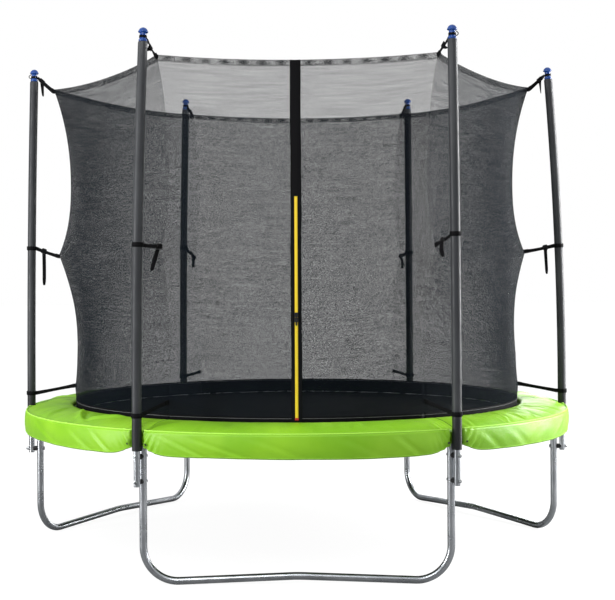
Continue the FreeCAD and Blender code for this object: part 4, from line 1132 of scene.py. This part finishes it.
pad_down = np.linspace(0, 0.62, len(pad_grid))[:, None]
pad_uvs = np.stack(np.broadcast_arrays(pad_angles * PAD_UV_RADIUS, pad_down), axis=-1)
pad_faces = grid_faces(len(pad_grid), PAD_TURNS, wrap_rows=True, wrap_cols=True, flip=True)
pad = Pile().add(pad_grid, pad_faces, pad_uvs).make("spring_pad_cover", vinyl)
# The crease bead and the skirt's hem line use the piping's lighter green, which is a painted highlight.
bead = pad_grid[rows_of("crease")[1]].copy()
bead[:, 2] += 0.0014
hem_line = pad_grid[skirt_rows[-2]] * np.array([1.0006, 1.0006, 1])
welt = Pile().add(*tube(bead[::2], 0.0032, 8, closed=True))
welt.add(*tube(hem_line[::2], 0.0007, 5, closed=True))
welt = welt.make("spring_pad_piping", piping_painted_highlight)
# Dark green lines down the top's six radial seams: painted shade of the seam grooves, which the pad's grid
# is too coarse to show.
seam_shade_lines = Pile()
top_rows = rows_of("top")
for corner_number in range(6):
    column = (corner_number * PAD_TURNS // 6 + 4) % PAD_TURNS
    line = pad_grid[top_rows[0] : top_rows[-1] + 1, column] + np.array([0, 0, 0.0002])
    seam_shade_lines.add(*tube(line, 0.0012, 6))
seam_shade_lines = seam_shade_lines.make("pad_seam_shade_lines", seam_painted_shade)
EYELET_GAP = 0.044
eyelets = Pile()
eyelet_row = skirt_rows[10]
for corner_number in range(6):
    for side in (-1, 1):
        angle = corner_number * STEP + side * EYELET_GAP / POLE_RADIUS
        column = round(angle / (2 * math.pi) * PAD_TURNS) % PAD_TURNS
        centre = pad_grid[eyelet_row, column]
        along = pad_grid[eyelet_row, (column + 2) % PAD_TURNS] - pad_grid[eyelet_row, column - 2]
        down = pad_grid[eyelet_row + 1, column] - pad_grid[eyelet_row - 1, column]
        out = np.cross(along, down)
        out *= math.copysign(1, np.dot(out[:2], centre[:2])) / np.linalg.norm(out)
        along = along / np.linalg.norm(along)
        upward = np.cross(out, along)
        ring = [along * math.cos(a) + upward * math.sin(a) for a in np.arange(16) / 16 * 2 * math.pi]
        rim = [centre + out * 0.0004 + spoke * 0.0040 for spoke in ring]
        eyelets.add(*tube(rim, 0.0012, 6, closed=True))
        eyelets.add(*tube([centre - out * 0.0010, centre + out * 0.0006], 0.0036, 16))
eyelets = eyelets.make("pad_eyelets", slider_metal, sharp=50)
for piece in (eyelets, pad, welt, seam_shade_lines):
    settle(piece, "frame")
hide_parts("spring_pad")


# ---- floor, light and camera


def area_light(name, place, target, size, power):
    """A soft light. size is its width and height."""
    data = bpy.data.lights.new(name, "AREA")
    data.shape = "RECTANGLE"
    data.size, data.size_y = size
    data.energy = power
    light = bpy.data.objects.new(name, data)
    light.location = place
    light.rotation_euler = (Vector(target) - Vector(place)).to_track_quat("-Z", "Y").to_euler()
    light.visible_camera = False
    bpy.context.scene.collection.objects.link(light)


def split_for_camera(tree, for_light, for_camera, output):
    """The camera sees one shader and all other rays meet the other."""
    choice = tree.nodes.new("ShaderNodeMixShader")
    tree.links.new(tree.nodes.new("ShaderNodeLightPath").outputs["Is Camera Ray"], choice.inputs[0])
    tree.links.new(for_light.outputs[0], choice.inputs[1])
    tree.links.new(for_camera.outputs[0], choice.inputs[2])
    tree.links.new(choice.outputs[0], tree.nodes[output].inputs[0])


floor_finish = Finish("floor_white", (0.14, 0.14, 0.14), 0.9, Specular_IOR_Level=0.0)
floor_finish.set("Emission Color", (1, 1, 1, 1))
floor_finish.set("Emission Strength", 0.92)
patches = floor_finish.noise(0.7, 2)
floor_finish.colour(floor_finish.mix(patches, (0.135, 0.135, 0.135), (0.145, 0.145, 0.145)))
grey = floor_finish.node("ShaderNodeBsdfDiffuse", Color=(0.28, 0.28, 0.28, 1))
split_for_camera(floor_finish.tree, grey, floor_finish.shader, "Material Output")
floor = Pile().add(polar(60.0, np.arange(64) / 64 * 2 * math.pi, 0.0), [tuple(range(64))])
floor = floor.make("floor", floor_finish.material, smooth=False)

world = bpy.data.worlds.new("studio")
bpy.context.scene.world = world
world.use_nodes = True
sky = world.node_tree
backdrop = sky.nodes["Background"]
backdrop.inputs["Color"].default_value = (1, 1, 1, 1)
backdrop.inputs["Strength"].default_value = 1.0
room = sky.nodes.new("ShaderNodeBackground")
room.inputs["Color"].default_value = (0.97, 0.98, 1.0, 1)
height = sky.nodes.new("ShaderNodeSeparateXYZ")
sky.links.new(sky.nodes.new("ShaderNodeTexCoord").outputs["Generated"], height.inputs[0])
ceiling = sky.nodes.new("ShaderNodeMapRange")
for socket, number in (("From Min", 0.05), ("From Max", 0.9), ("To Min", 0.06), ("To Max", 0.95)):
    ceiling.inputs[socket].default_value = number
sky.links.new(height.outputs[2], ceiling.inputs[0])
sky.links.new(ceiling.outputs[0], room.inputs["Strength"])
split_for_camera(sky, room, backdrop, "World Output")

area_light("key", (-1.6, -5.6, 4.6), (0, 0, 0.8), (3.0, 2.0), 150)
area_light("left", (-4.6, -2.6, 1.5), (0, 0, 0.8), (0.9, 2.8), 185)
area_light("right", (4.6, 0.7, 1.9), (0, 0, 0.8), (1.3, 2.8), 390)
area_light("rim", (2.1, 5.0, 1.5), (0, 0, 0.7), (1.8, 1.6), 60)
area_light("right_strip", (4.2, -4.2, 1.4), (0, 0, 0.8), (0.4, 2.6), 32)

camera_data = bpy.data.cameras.new("camera")
camera_data.lens = 77.99
camera_data.sensor_width = 36.0
camera_data.shift_x = 0.0184
camera_data.shift_y = -0.032
camera = bpy.data.objects.new("camera", camera_data)
CAMERA_PLACE, CAMERA_ROLL = (0, -6.2523, 1.188), 0.0046
roll, level = Matrix.Rotation(CAMERA_ROLL, 4, "Y"), Matrix.Rotation(math.radians(90), 4, "X")
camera.matrix_world = Matrix.Translation(CAMERA_PLACE) @ roll @ level
bpy.context.scene.collection.objects.link(camera)
bpy.context.scene.camera = camera
bpy.context.scene.view_settings.view_transform = "Standard"
bpy.context.scene.cycles.use_denoising = True
bpy.context.scene.cycles.transparent_max_bounces = 24
